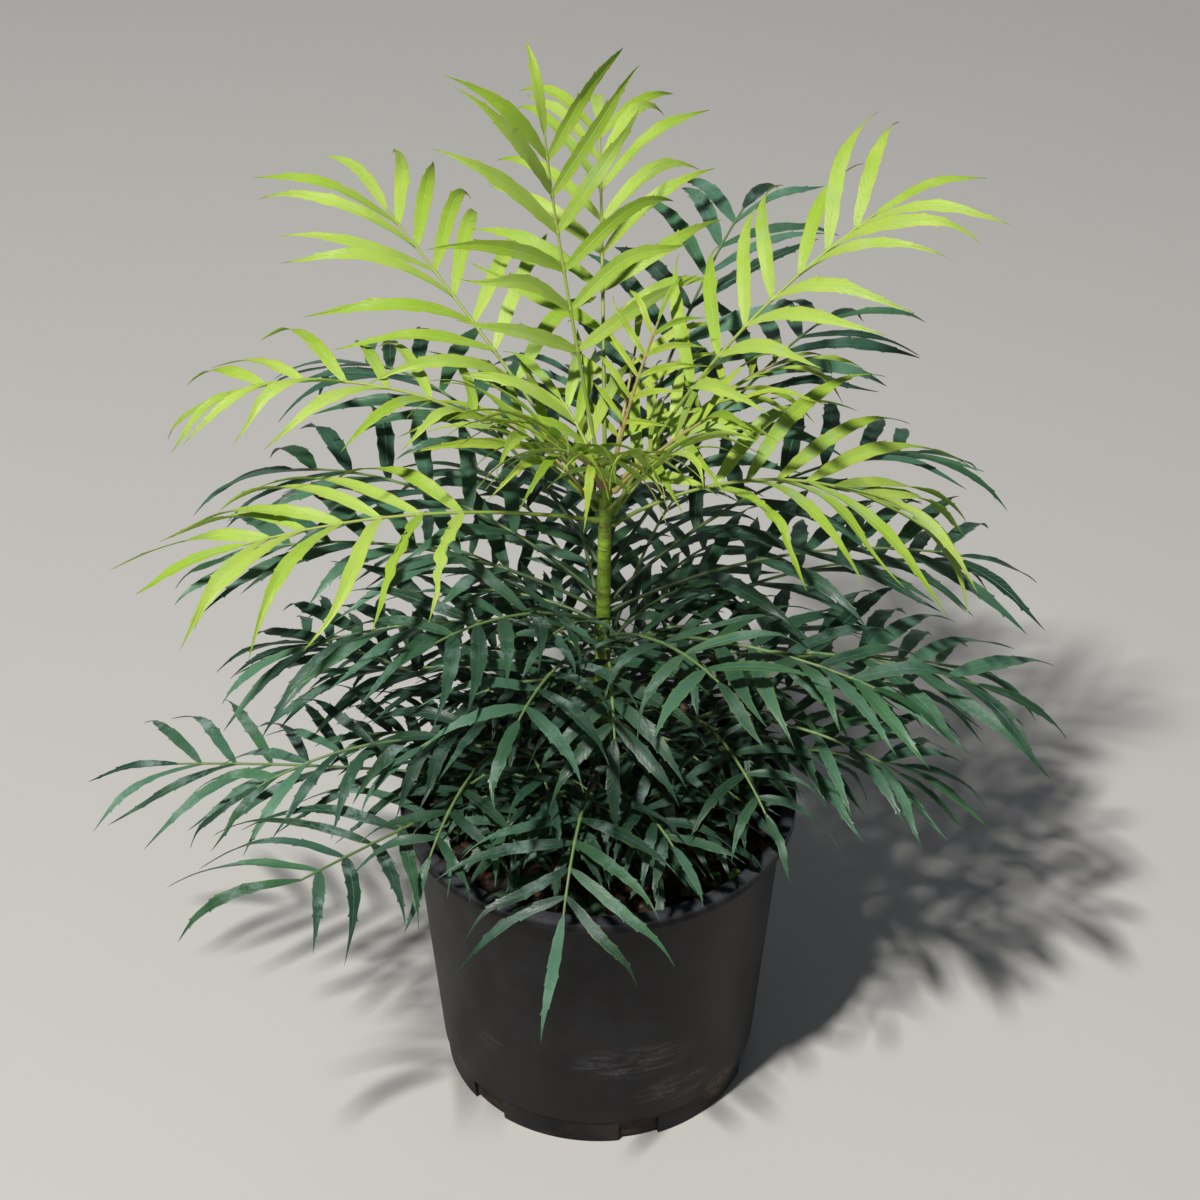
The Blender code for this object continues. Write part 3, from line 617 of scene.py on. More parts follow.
def add_blade(form, centres, across, length, width, look, facts, spare=False, bites=0, sense=1):
    """A thin folded blade with a midrib and spiny teeth, fewer if spare, along centre points.

    Its tip hooks down or a little up, and towards across times sense.
    """
    back, front = TOOTH_BACK / length, TOOTH_FRONT / length

    def tooth_places(place):
        """Where a tooth starts, steepens, peaks and ends."""
        return [place - back, place - TOOTH_STEEP * back, place, place + front]

    teeth = {}
    stations = list(STATIONS)
    first, last = TOOTHED
    for side in (-1, 1):
        count = look.integers(1, 4) + (length > LONG_LEAFLET) - spare
        places = np.arange(count) + look.uniform(0.15, 0.85, count)
        places = first + (last - first) * places / count
        reach = look.uniform(*TOOTH_REACH, count) * min(1.0, width / WIDE_LEAFLET)
        teeth[side] = places, reach
        for place in places:
            stations += tooth_places(place)
    nicks = []
    for _ in range(bites):
        place, reach = look.uniform(0.18, 0.8), look.uniform(0.0025, 0.008) / length
        nicks.append((int(look.choice((-1, 1))), place, reach, look.uniform(0.35, 0.85)))
        stations += [place + reach * step for step in BITE_STEPS]
    stations = np.unique(np.round(stations, 4))
    keep = np.append(True, np.diff(stations) > STATION_GAP)
    stations = stations[keep & (stations < LAST_STATION)]
    line, tip = blade_line(centres, across, length, stations, sense, look)
    ways = unit(np.gradient(np.vstack([line, tip]), axis=0))[:-1]
    wide = unit(across - ways * np.sum(ways * across, axis=1, keepdims=True))
    twist = math.radians(look.uniform(-TWIST, TWIST)) * stations
    wide = wide * np.cos(twist)[:, None] + np.cross(wide, ways) * np.sin(twist)[:, None]
    upward = np.cross(wide, ways)
    form_at = np.maximum(blade_shape(stations), 0.22 * (stations < 0.5))
    form_at *= 1 - 0.62 * np.clip((stations - 0.6) / 0.4, 0, 1)
    half = width / 2 * form_at
    edges = {}
    leans = {}
    for side, (places, reach) in teeth.items():
        extra = np.zeros(len(stations))
        for place, out in zip(places, reach):
            extra += np.interp(stations, tooth_places(place), [0, TOOTH_RISE * out, out, 0])
        lost = np.zeros(len(stations))
        for nick_side, place, reach, depth in nicks:
            if nick_side == side:
                lost = np.maximum(lost, depth * bump(stations, place, reach))
        ripple = np.sin(look.uniform(26, 44) * stations + look.uniform(0, 6.3))
        edges[side] = half * (1 - lost) * (1 + RIPPLE * ripple) + extra
        leans[side] = TOOTH_LEAN * extra / TOOTH_REACH[1]
    fold = look.uniform(0.05, 0.26)
    wave = look.uniform(0.0002, 0.0008) * np.sin(math.pi * stations)
    phase, pace = look.uniform(0, 6.3), look.uniform(6, 13)
    thin = BLADE_THICKNESS * np.clip(1.6 - stations, 0.5, 1.3)
    rib = thin + MIDRIB_DEPTH * (1 - stations)
    left, right = (
        fold * half + wave * np.sin(pace * stations + phase + side) for side in (-1, 1)
    )
    # The corners of a ring: how far across and up, how far a tooth leans, and the place across
    profile = (
        (-edges[-1], left, leans[-1], -1),
        (-0.55 * half, 0.45 * left + BLADE_ARCH, 0, -0.55),
        (0, -MIDRIB_GROOVE, 0, 0),
        (0.55 * half, 0.45 * right + BLADE_ARCH, 0, 0.55),
        (edges[1], right, leans[1], 1),
        (0.5 * half, 0.4 * right - thin, 0, 0.5),
        (0, -rib, 0, 0),
        (-0.5 * half, 0.4 * left - thin, 0, -0.5),
    )
    rings = []
    for corner in profile:
        x, z, lean = (np.broadcast_to(part, len(line))[:, None] for part in corner[:3])
        rings.append(line + wide * x + upward * z + ways * lean)
    rings = np.stack(rings, axis=1)
    ends = line[0] - ways[0] * BLADE_THICKNESS, tip
    places = [corner[3] for corner in profile]
    add_rings(form, rings, ends, stations, places, facts, under=BLADE_UNDER)


def add_tube(form, line, radii, sides, facts, surface=1, flat=1.0):
    """A round tube along a row of points. flat squeezes it upright, as a share."""
    ways = unit(np.gradient(line, axis=0))
    aside = np.array([0.0, 1.0, 0.0])
    right = unit(np.cross(ways, aside if abs(ways[0] @ UP) > 0.9 else UP))
    above = np.cross(right, ways)
    angles = circle(sides)
    rings = (
        line[:, None]
        + right[:, None] * (np.cos(angles)[None] * radii[:, None])[..., None]
        + above[:, None] * (np.sin(angles)[None] * (radii * flat)[:, None])[..., None]
    )
    ends = line[0] - ways[0] * radii[0] * 0.3, line[-1] + ways[-1] * radii[-1] * 0.5
    travelled = np.linspace(0, 1, len(line))
    add_rings(form, rings, ends, travelled, np.sin(angles), facts, surface)


def add_frond(form, rachis, leaflets, look):
    """Stalk, rachis with swollen joints, and fine blades."""
    frond = rachis.frond
    # dust also sets how much painted sheen the blades get
    dust = DUSTY_AND_SHEENED.get(frond.name, look.uniform(0.0, 0.35))
    yellow = YELLOWED.get(frond.name, look.uniform(0.0, 0.08))
    joints = [rachis_share(frond, pair_span(frond, pair)) for pair in range(frond.pairs)]
    swelling = np.array([-1.6, -0.8, 0, 0.8, 1.6]) * JOINT_STEP / rachis.length
    steps = [swelling + joint for joint in joints]
    shares = np.unique(np.concatenate([np.linspace(0, 1, RACHIS_PLACES), [0.012, 0.024], *steps]))
    shares = shares[shares <= 1]
    travelled = shares * rachis.length
    line = smooth_line(rachis.points, shares * RACHIS_STEPS)
    radii = SLIMMER * rachis.radius(shares)
    swell = 1 + 1.1 * bump(travelled, 0, FOOT_REACH)
    for joint in joints:
        swell += 0.42 * bump(shares, joint, JOINT_REACH / rachis.length)
    line = np.vstack([line[0] - rachis.outward * FOOT_SUNK, line])
    radii = np.append(radii[0] * 1.5, radii * swell)
    flat = np.append(0.7, 1 - 0.35 * bump(travelled, 0, FOOT_REACH))
    add_tube(form, line, radii, STALK_SIDES, (look.uniform(), yellow, dust), flat=flat)
    bitten = BITTEN.get(frond.name, ())
    for number, leaf in enumerate(leaflets):
        centres, across = leaf.path()
        own = np.clip(yellow + look.normal(0, 0.08), 0, 1)
        facts = (look.uniform(), own, np.clip(dust + look.normal(0, 0.15), 0, 1))
        spare = frond.age != "dark"
        bites = BITES * (number in bitten)
        sense = -leaf.side or int(look.choice((-1, 1)))
        add_blade(form, centres, across, leaf.length, leaf.width(), look, facts, spare, bites, sense)


class Value:
    """A number or a colour in a material. Sums with it add nodes."""

    def __init__(self, shader, socket):
        self.shader = shader
        self.socket = socket

    def __abs__(self):
        return self.shader.math("ABSOLUTE", self)

    def __add__(self, other):
        return self.shader.math("ADD", self, other)

    def __mul__(self, other):
        return self.shader.math("MULTIPLY", self, other)

    def __sub__(self, other):
        return self.shader.math("SUBTRACT", self, other)

    def __truediv__(self, other):
        return self.shader.math("DIVIDE", self, other)

    def spread(self, low, high, to_low=0.0, to_high=1.0):
        """Maps low..high to to_low..to_high in a soft step."""
        numbers = dict(enumerate((self, low, high, to_low, to_high)))
        return self.shader.node("MapRange", numbers, interpolation_type="SMOOTHSTEP")

    def fade(self, low, high):
        """1 up to low and 0 from high."""
        return self.spread(low, high, 1.0, 0.0)

    def mix(self, share, other):
        return self.shader.mix(share, self, other)


class Shader:
    """A Principled material, built up from a few kinds of node."""

    def __init__(self, name, roughness=0.5, **numbers):
        self.material = bpy.data.materials.new(name)
        self.material.use_nodes = True
        self.nodes = self.material.node_tree.nodes
        self.surface = self.nodes["Principled BSDF"].inputs
        self.surface["Roughness"].default_value = roughness
        for label, number in numbers.items():
            self.surface[label.replace("_", " ")].default_value = number
        self.place = self.node("TexCoord", {}, "Object")

    def give(self, socket, value):
        if isinstance(value, Value):
            self.material.node_tree.links.new(value.socket, socket)
        elif socket.type == "RGBA":
            socket.default_value = (*value, 1.0)
        else:
            socket.default_value = value

    def node(self, kind, values, output=0, **settings):
        """Adds a node with these values and settings, and returns one of its outputs."""
        node = self.nodes.new(f"ShaderNode{kind}")
        for name, setting in settings.items():
            setattr(node, name, setting)
        for label, value in values.items():
            self.give(node.inputs[label], value)
        return Value(self, node.outputs[output])

    def attribute(self, name):
        return self.split(self.node("Attribute", {}, "Vector", attribute_name=name))

    def split(self, vector):
        node = self.nodes.new("ShaderNodeSeparateXYZ")
        self.give(node.inputs[0], vector)
        return tuple(Value(self, part) for part in node.outputs)

    def join(self, *values):
        return self.node("CombineXYZ", dict(enumerate(values)))

    def math(self, operation, *values):
        return self.node("Math", dict(enumerate(values)), operation=operation)

    def noise(self, scale, detail, roughness=0.55, place=None):
        values = {"Scale": scale, "Detail": detail, "Roughness": roughness}
        return self.node("TexNoise", {"Vector": place or self.place, **values})

    def mix(self, share, first, second):
        return self.node("Mix", {"Factor": share, 6: first, 7: second}, 2, data_type="RGBA")

    def made(self, colour, height=None, distance=0.0, strength=1.0, rough=None):
        """The material with its colour, bumps up to a distance, and roughness."""
        self.give(self.surface["Base Color"], colour)
        if rough:
            self.give(self.surface["Roughness"], rough)
        if height:
            values = {"Strength": strength, "Distance": distance, "Height": height}
            self.give(self.surface["Normal"], self.node("Bump", values))
        return self.material


Palette = namedtuple("Palette", "deep light rib under bloom yellow edge edge_share bloom_share rough")
PALETTES = {
    "lime": Palette(
        (0.32, 0.50, 0.042), (0.44, 0.61, 0.108), (0.52, 0.66, 0.18), (0.30, 0.46, 0.06),
        (0.54, 0.68, 0.22), (0.50, 0.48, 0.04), (0.42, 0.42, 0.03), 0.25, 0.25, 0.40,
    ),
    "new": Palette(
        (0.21, 0.36, 0.024), (0.40, 0.55, 0.062), (0.46, 0.46, 0.10), (0.28, 0.36, 0.06),
        (0.48, 0.54, 0.18), (0.42, 0.30, 0.04), (0.36, 0.12, 0.03), 0.60, 0.22, 0.42,
    ),
    "dark": Palette(
        (0.010, 0.048, 0.027), (0.094, 0.238, 0.148), (0.16, 0.32, 0.19), (0.055, 0.130, 0.060),
        (0.13, 0.22, 0.16), (0.24, 0.34, 0.03), (0.18, 0.28, 0.05), 0.16, 0.08, 0.34,
    ),
}
# Stalks: colour by the foot, further up, in tanned patches, and how much is tanned
STALKS = {
    "lime": ((0.20, 0.30, 0.04), (0.38, 0.48, 0.10), (0.46, 0.32, 0.16), 0.05),
    "new": ((0.28, 0.30, 0.06), (0.42, 0.38, 0.13), (0.48, 0.22, 0.12), 0.25),
    "dark": ((0.045, 0.085, 0.030), (0.17, 0.27, 0.09), (0.22, 0.14, 0.07), 0.02),
}
# Canes: colours of bark and of green, and how much is green
YOUNG_CANE = (0.17, 0.20, 0.040), (0.30, 0.50, 0.045), 0.38
OLD_CANE = (0.13, 0.09, 0.055), (0.15, 0.16, 0.06), 0.0
# The other colours, named by what they are on
LEAFY_GREEN = (0.050, 0.170, 0.045)
# Painted shade for the leaves inside the plant
PAINTED_INNER_SHADE = (0.007, 0.028, 0.013)
# Pale dust and bloom, which also paints the sheen of a reflection on the leaflets
LEAF_DUST_AND_SHEEN = (0.33, 0.45, 0.43)
LEAF_SPECK = (0.16, 0.13, 0.05)
RING_SCAR = (0.22, 0.12, 0.06)
BARK_CRACK = (0.06, 0.045, 0.02)
PLASTIC = (0.012, 0.012, 0.0135)
DULLED_PLASTIC = (0.034, 0.034, 0.037)
POT_DUST = (0.070, 0.054, 0.040)
SCUFF = (0.20, 0.20, 0.205)
SOIL_STAIN = (0.16, 0.105, 0.065)
# Painted sheen, with some wear, on the top of the pot's lip
LIP_SHEEN_AND_WEAR = (0.075, 0.080, 0.094)
DAMP_PEAT = (0.012, 0.009, 0.007)
PEAT = (0.060, 0.038, 0.024)
PEAT_FIBRE = (0.13, 0.085, 0.05)
DARK_CHIP = (0.035, 0.020, 0.013)
RED_CHIP = (0.20, 0.082, 0.040)
GREY_CHIP = (0.24, 0.19, 0.14)
CHIP_GRAIN = (0.02, 0.013, 0.009)
WEED_DEEP = (0.10, 0.26, 0.05)
WEED_LIGHT = (0.30, 0.50, 0.10)
WEED_MOTTLE = (0.16, 0.34, 0.10)
FLOOR_PALE = (0.62, 0.61, 0.59)
FLOOR_CLOUD = (0.55, 0.54, 0.52)

# Marks on the pot's wall: angle, height, reach along the wall and reach up it
POT_WALL_RADIUS = 0.12
FRONT_SCUFF = (-78, 0.085, 0.045, 0.018)
RIGHT_SCUFF = (-62, 0.046, 0.034, 0.016)
LEFT_SCUFF = (-130, 0.081, 0.014, 0.007)
SOIL_MARK = (-39, 0.022, 0.020, 0.014)


def varied_and_shaded_dark(shader, body, draw, deep):
    """Some leaves greener, some dimmer, and painted shade that darkens all of them inside the plant.
    """
    leafy = shader.math("FRACT", draw * 7.0).spread(0.55, 1.0)
    dim = shader.math("FRACT", draw * 13.0).spread(0.45, 0.75)
    x, y, z = shader.split(shader.place)
    out = shader.math("SQRT", x * x + y * y)
    # Painted shade: leaves close to the axis and low in the plant darken towards a shade colour
    inner_painted_shade = out.fade(0.09, 0.23) * z.fade(0.33, 0.50)
    body = body.mix(leafy * 0.55, LEAFY_GREEN).mix(dim * 0.5, deep)
    return body.mix(inner_painted_shade * 0.84, PAINTED_INNER_SHADE)


def leaf_material(name, palette):
    """A blade: midrib, side veins, mottling, dust with a painted sheen, yellow edges and a dull
    underside.
    """
    glow, gloss = (0.10, 0.50) if name == "dark" else (0.32, 0.28)
    shader = Shader(
        f"{name}_blade", Specular_IOR_Level=gloss, Subsurface_Weight=glow, Subsurface_Scale=0.0015,
        Subsurface_Radius=(0.5, 1.0, 0.12),
    )
    along, across, under = shader.attribute("place")
    # dust also sets how much painted sheen a blade gets
    draw, yellow, dust = shader.attribute("draw")
    off = abs(across)
    mottle = shader.noise(55, 4)
    fine = shader.noise(420, 3)
    body = shader.mix((mottle + draw).spread(0.55, 1.35), palette.deep, palette.light)
    slant = along * 15.0 - off * 1.6
    side_veins = abs(shader.math("SINE", slant * math.pi)).fade(0.0, 0.22)
    lengthwise = abs(off - 0.5).fade(0.0, 0.07)
    veins = shader.math("MAXIMUM", side_veins * 0.55, lengthwise * 0.12)
    body = body.mix(veins * 0.22, palette.rib)
    body = body.mix(yellow * (off + mottle).spread(0.85, 1.5), palette.yellow)
    body = body.mix(off.spread(0.88, 1.0) * palette.edge_share, palette.edge)
    near_foot = along.fade(0.0, 0.42) * palette.bloom_share
    body = body.mix(near_foot * fine.spread(0.3, 0.7), palette.bloom)
    rib = off.fade(0.02, 0.08)
    body = body.mix(rib * 0.6, palette.rib)
    if name == "dark":
        body = varied_and_shaded_dark(shader, body, draw, palette.deep)
    # Dust and painted sheen: pale bluish patches in a band across each leaflet, where a reflection is
    # painted
    clouds = shader.noise(70, 6, 0.68) + fine * 0.25
    sheen_band = abs(along - (draw * 0.45 + 0.25)).spread(0.02, 0.24, 1.0, 0.10)
    dust_and_sheen = clouds.spread(0.52, 0.80) * dust * sheen_band
    body = body.mix(dust_and_sheen * 0.85, LEAF_DUST_AND_SHEEN)
    cells = shader.node("TexVoronoi", {"Vector": shader.place, "Scale": 260}, "Distance")
    body = body.mix(cells.fade(0.0, 0.16) * 0.25, LEAF_SPECK)
    body = body.mix(under * 0.85, palette.under)
    rough = mottle * 0.14 + palette.rough + shader.math("MAXIMUM", under * 0.2, dust_and_sheen)
    return shader.made(body, fine * 0.5 - (veins + rib), 0.00025, 0.7, rough)


def stalk_material(name, foot, green, tan, share):
    """A rachis: darker by its foot, greener above, and tanned in patches, most on its underside."""
    shader = Shader(f"{name}_stalk", 0.45)
    along, upper, _ = shader.attribute("place")
    draw, _, _ = shader.attribute("draw")
    patches = shader.noise(90, 4) + upper * -0.12
    body = shader.mix(along.spread(0.05, 0.55), foot, green)
    body = body.mix(patches.spread(0.62 - share, 1.05 - share), tan)
    body = body.mix(draw * 0.25, tuple(part * 0.6 for part in green))
    return shader.made(body, shader.noise(700, 2), 0.0002, 0.5)


def cane_material(name, bark, green, share):
    """Bark with ring scars round it and fine cracks along it."""
    shader = Shader(f"{name}_bark", 0.62)
    x, y, z = shader.split(shader.place)
    cracks = shader.noise(900, 4, place=shader.join(x, y, z * 0.18))
    rings = shader.noise(260, 2, place=shader.join(x * 0.1, y * 0.1, z)).spread(0.52, 0.64)
    body = shader.mix(shader.noise(120, 4).spread(0.62 - share, 0.95 - share), bark, green)
    body = body.mix(rings * 0.45, RING_SCAR).mix(cracks.fade(0.30, 0.46) * 0.4, BARK_CRACK)
    return shader.made(body, cracks + rings * 0.8, 0.0006, 0.8)


def pot_material():
    """Black moulded plastic, dulled by soil dust, with pale scuffs low on the front and a lighter lip
    top that is painted sheen with some wear.
    """
    shader = Shader("scuffed_plastic", Specular_IOR_Level=0.08)
    x, y, z = shader.split(shader.place)
    angle = shader.math("ARCTAN2", y, x)
    film = shader.noise(14, 5, 0.65)
    streaks = shader.noise(230, 4, 0.6, shader.join(angle * 0.02, z, 0.0))
    speckle = shader.noise(260, 4, 0.7)
    dust = shader.noise(34, 6, 0.7).spread(0.42, 0.80) * z.spread(0.0, 0.13, 1.0, 0.15)

    def mark(middle_angle, middle_height, reach_along, reach_up):
        across = (angle - math.radians(middle_angle)) / (reach_along / POT_WALL_RADIUS)
        upward = (z - middle_height) / reach_up
        return (across * across + upward * upward).fade(0.15, 1.3)

    worn = shader.math("MAXIMUM", mark(*FRONT_SCUFF), mark(*RIGHT_SCUFF))
    worn = shader.math("MAXIMUM", worn, mark(*LEFT_SCUFF))
    worn = worn * streaks.spread(0.40, 0.64) * speckle.spread(0.30, 0.62)
    all_round = streaks.spread(0.66, 0.80) * film.spread(0.50, 0.72, 0.0, 0.35)
    scuffs = shader.math("MAXIMUM", worn, all_round)
    soiled = mark(*SOIL_MARK) * speckle.spread(0.40, 0.62)
    # Painted sheen with some wear: the top of the lip is lighter and bluish in patches
    lip = z.spread(POT_HEIGHT - 0.0040, POT_HEIGHT - 0.0012)
    lip_sheen_and_wear = lip * shader.noise(55, 5, 0.7).spread(0.30, 0.75, 0.25, 0.85)
    body = shader.mix(film.spread(0.35, 0.75), PLASTIC, DULLED_PLASTIC)
    body = body.mix(dust * 0.7, POT_DUST).mix(scuffs * 0.50, SCUFF)
    body = body.mix(soiled * 0.8, SOIL_STAIN).mix(lip_sheen_and_wear, LIP_SHEEN_AND_WEAR)
    rough = film.spread(0.3, 0.8, 0.40, 0.52) + (dust * 0.22 + scuffs * 0.25)
    out = shader.math("SQRT", x * x + y * y)
    waves = shader.noise(60, 2, place=shader.join(angle * 0.125, z, out))
    return shader.made(body, shader.noise(1500, 2) * 0.4 + waves * 0.6, 0.00025, 0.5, rough)


def soil_material():
    """Damp peat and composted bark."""
    shader = Shader("potting_mix", 0.93)
    coarse = shader.noise(90, 6, 0.65)
    fine = shader.noise(600, 4, 0.7)
    body = shader.mix(coarse.spread(0.3, 0.7), DAMP_PEAT, PEAT)
    body = body.mix(fine.spread(0.55, 0.75) * 0.5, PEAT_FIBRE)
    return shader.made(body, coarse + fine * 0.6, 0.0025)


def chip_material():
    """Bark chips, from reddish to dark brown and a few greyed."""
    shader = Shader("bark_chips", 0.88)
    draw, second, _ = shader.attribute("draw")
    x, y, z = shader.split(shader.place)
    grain = shader.noise(500, 4, 0.7, shader.join(x * 4.0, y, z))
    body = shader.mix(draw, DARK_CHIP, RED_CHIP).mix(second.spread(0.82, 0.95), GREY_CHIP)
    body = body.mix(grain.spread(0.45, 0.7) * 0.6, CHIP_GRAIN)
    return shader.made(body, grain, 0.001, 0.9)


def weed_material():
    """Small seedlings, bright and soft."""
    shader = Shader("seedling_green")
    draw, _, _ = shader.attribute("draw")
    body = shader.mix(draw, WEED_DEEP, WEED_LIGHT).mix(shader.noise(500, 2) * 0.5, WEED_MOTTLE)
    return shader.made(body, shader.noise(900, 2), 0.0002, 0.5)


def floor_material():
    shader = Shader("pale_floor", 0.75)
    return shader.made(shader.mix(shader.noise(3, 3) * 0.25, FLOOR_PALE, FLOOR_CLOUD))


def finished(thing, slot, *nodes):
    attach(thing, "root")
    if nodes:
        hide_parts(*nodes)


def build_fronds(materials):
    for frond in FRONDS:
        form = Form()
        rachis, leaflets = grown_frond(frond)
        look = np.random.default_rng(7 + sum(map(ord, frond.name)))
        add_frond(form, rachis, leaflets, look)
        piece = form.made(f"leaves_{frond.name}", materials[frond.age])
        finished(piece, f"{frond.age}_frond", f"frond_{frond.name}")


def add_sprig(form, look, *row):
    """A small frond, with every leaflet as the growth rule draws it."""
    rachis = Rachis(Frond(*row))
    add_frond(form, rachis, list(wanted_leaflets(rachis)), look)


def build_sprigs(materials):
    """Small fronds that fill the dim middle of the plant and the crown round its growing tip."""
    look = np.random.default_rng(21)
    for number, cane in enumerate(CANES):
        form = Form()
        low, high = (230, 290) if number else (262, 392)
        for sprig in range(9 if number else 12):
            rise, fall = look.uniform(15, 60), look.uniform(-35, 10)
            add_sprig(
                form, look, f"sprig_{number}_{sprig}", "dark", number, look.uniform(low, high),
                GOLDEN_TURN * sprig + CANE_TURN * number, rise, fall, look.uniform(60, 110),
                look.uniform(-8, 8), 0, 4, look.uniform(40, 64),
            )
        finished(form.made(f"sprigs_{cane.name}", materials["dark"]), "dark_frond")
    for age, name, first in (("lime", "crown_sprigs", 0), ("new", "young_sprigs", 1)):
        form = Form()
        for sprig in range(first, 8, 2):
            add_sprig(
                form, look, f"crown_{sprig}", age, 0, 470 + 4 * sprig, GOLDEN_TURN * sprig + 20,
                look.uniform(46, 74), look.uniform(10, 45), look.uniform(60, 110),
                look.uniform(-8, 8), 0, 3, look.uniform(76, 100),
            )
        finished(form.made(name, materials[age]), f"{age}_frond")


def add_bud_scales(form, head):
    """Narrow scales round the growing tip of the tall cane."""
    steps = np.linspace(0, 1, 8)[:, None]
    radii = 0.0013 * np.sqrt(np.clip(1 - steps[:, 0], 0.02, 1))
    for number in range(BUD_SCALES):
        lean = 0.0022 + 0.00035 * number
        rise = 0.016 - 0.0009 * number
        out = level(GOLDEN_ANGLE * number)
        scale = head - [0, 0, 0.004] + out * lean * (1 + 0.4 * steps) + UP * rise * steps
        add_tube(form, scale, radii, 8, (0.5, 0, 0), surface=0)


def build_canes(green, brown):
    """Round stems with ring scars, and bud scales at the head of the tall one."""
    look = np.random.default_rng(5)
    for cane in CANES:
        tall = cane is CANES[0]
        heights = np.arange(SOIL_TOP - CANE_SOCKET, cane.head[2], CANE_STEP)
        line = np.array([cane_point(cane, height) for height in heights])
        radii = np.array([cane_radius(cane, height) for height in heights])
        scar = SOIL_TOP + 0.012
        while scar < cane.head[2] - 0.003:
            radii += look.uniform(0.0002, 0.0005) * bump(heights, scar, 0.0009)
            scar += look.uniform(0.005, 0.012)
        form = Form()
        add_tube(form, line, radii, 20, (0.5, 0, 0), surface=0)
        if tall:
            add_bud_scales(form, np.array(cane.head))
        piece = form.made(f"stem_{cane.name}", [green if tall else brown])
        finished(piece, "young_cane" if tall else "old_cane", cane.name)


def pot_inner_radius(height):
    share = (height - POT_FLOOR) / (NECK_HEIGHT - POT_FLOOR)
    return POT_BASE_RADIUS - POT_WALL + (POT_NECK_RADIUS - POT_BASE_RADIUS) * share


def build_pot(surface):
    """The moulded pot with a rounded lip, a foot step and six notches in the edge of its base."""
    foot, neck, rim, lip = POT_BASE_RADIUS, POT_NECK_RADIUS, POT_RIM_RADIUS, LIP_INNER_RADIUS
    step_share = FOOT_STEP_HEIGHT / NECK_HEIGHT
    step = foot + (neck - foot) * step_share
    corners = [
        (0.0, 0.0), (foot - 0.0012, 0.0), (foot, 0.0012),
        (step, FOOT_STEP_HEIGHT), (step + 0.0008, FOOT_STEP_HEIGHT + 0.0002),
        (step + 0.0012, FOOT_STEP_HEIGHT + 0.0008), (neck - 0.0004, NECK_HEIGHT - 0.002),
        (neck + 0.0004, NECK_HEIGHT), (rim - 0.0008, NECK_HEIGHT), (rim, NECK_HEIGHT + 0.0008),
        (rim, POT_HEIGHT - 0.0016), (rim - 0.0004, POT_HEIGHT - 0.0005), (rim - 0.0016, POT_HEIGHT),
        (lip + 0.0016, POT_HEIGHT), (lip + 0.0004, POT_HEIGHT - 0.0005), (lip, POT_HEIGHT - 0.0016),
        (pot_inner_radius(NECK_HEIGHT), NECK_HEIGHT), (pot_inner_radius(POT_FLOOR), POT_FLOOR),
        (0.0, POT_FLOOR),
    ]
    angles = circle(POT_SIDES)
    rings = [
        np.stack([r * np.cos(angles), r * np.sin(angles), np.full(POT_SIDES, z)], axis=-1)
        for r, z in corners[1:-1]
    ]
    points = np.vstack([*rings, [[0, 0, corners[0][1]], [0, 0, corners[-1][1]]]])
    form = Form()
    form.add(points, tube_faces(len(rings), POT_SIDES), (0,) * 6)
    pot = form.made("nursery_pot", [surface], 30)
    boxes = bmesh.new()
    for number in range(NOTCHES):
        turn = Matrix.Rotation(math.radians(FIRST_NOTCH + 360 / NOTCHES * number), 4, "Z")
        place = turn @ Matrix.Translation((POT_BASE_RADIUS, 0, 0))
        bmesh.ops.create_cube(boxes, size=1, matrix=place @ Matrix.Diagonal(NOTCH_SIZE))
    mesh = bpy.data.meshes.new("notches")
    boxes.to_mesh(mesh)
    boxes.free()
    cutter = added("notches", mesh)
    boolean = pot.modifiers.new("cut", "BOOLEAN")
    boolean.operation = "DIFFERENCE"
    boolean.solver = "EXACT"
    boolean.object = cutter
    bpy.context.view_layer.update()
    seen = pot.evaluated_get(bpy.context.evaluated_depsgraph_get())
    whole = bpy.data.meshes.new_from_object(seen)
    pot.modifiers.clear()
    pot.data = whole
    whole.set_sharp_from_angle(angle=math.radians(30))
    bpy.data.objects.remove(cutter)
    finished(pot, "pot_plastic", "pot")


def soil_height(x, y):
    """Height of the soil's rough top."""
    edge = pot_inner_radius(SOIL_TOP)
    share = min(math.hypot(x, y) / edge, 1.0)
    mound = SOIL_TOP - SOIL_MOUND * share**2
    rough = noise.fractal(Vector((x * 60, y * 60, 3.1)), 0.9, 2.1, 5)
    return mound + 0.0022 * rough - 0.0012


def build_soil(surface):
    sides, rings = 120, 44
    edge = pot_inner_radius(SOIL_TOP - SOIL_MOUND) - GAP
    floor = POT_FLOOR + GAP
    rows = [(pot_inner_radius(floor) - GAP, floor), (edge, SOIL_TOP - SOIL_MOUND - 0.001)]
    points = []
    for radius, height in rows:
        points += [(radius * math.cos(a), radius * math.sin(a), height) for a in circle(sides)]
    for ring in range(rings):
        radius = edge * (1 - (ring + 0.5) / (rings + 0.5))
        for side in range(sides):
            angle = 2 * math.pi * (side + 0.5 * (ring % 2)) / sides
            x, y = radius * math.cos(angle), radius * math.sin(angle)
            points.append((x, y, soil_height(x, y)))
    points += [(0, 0, floor), (0, 0, soil_height(0, 0))]
    form = Form()
    form.add(points, tube_faces(rings + 2, sides), (0,) * 6)
    finished(form.made("potting_mix", [surface], 80), "soil", "soil")


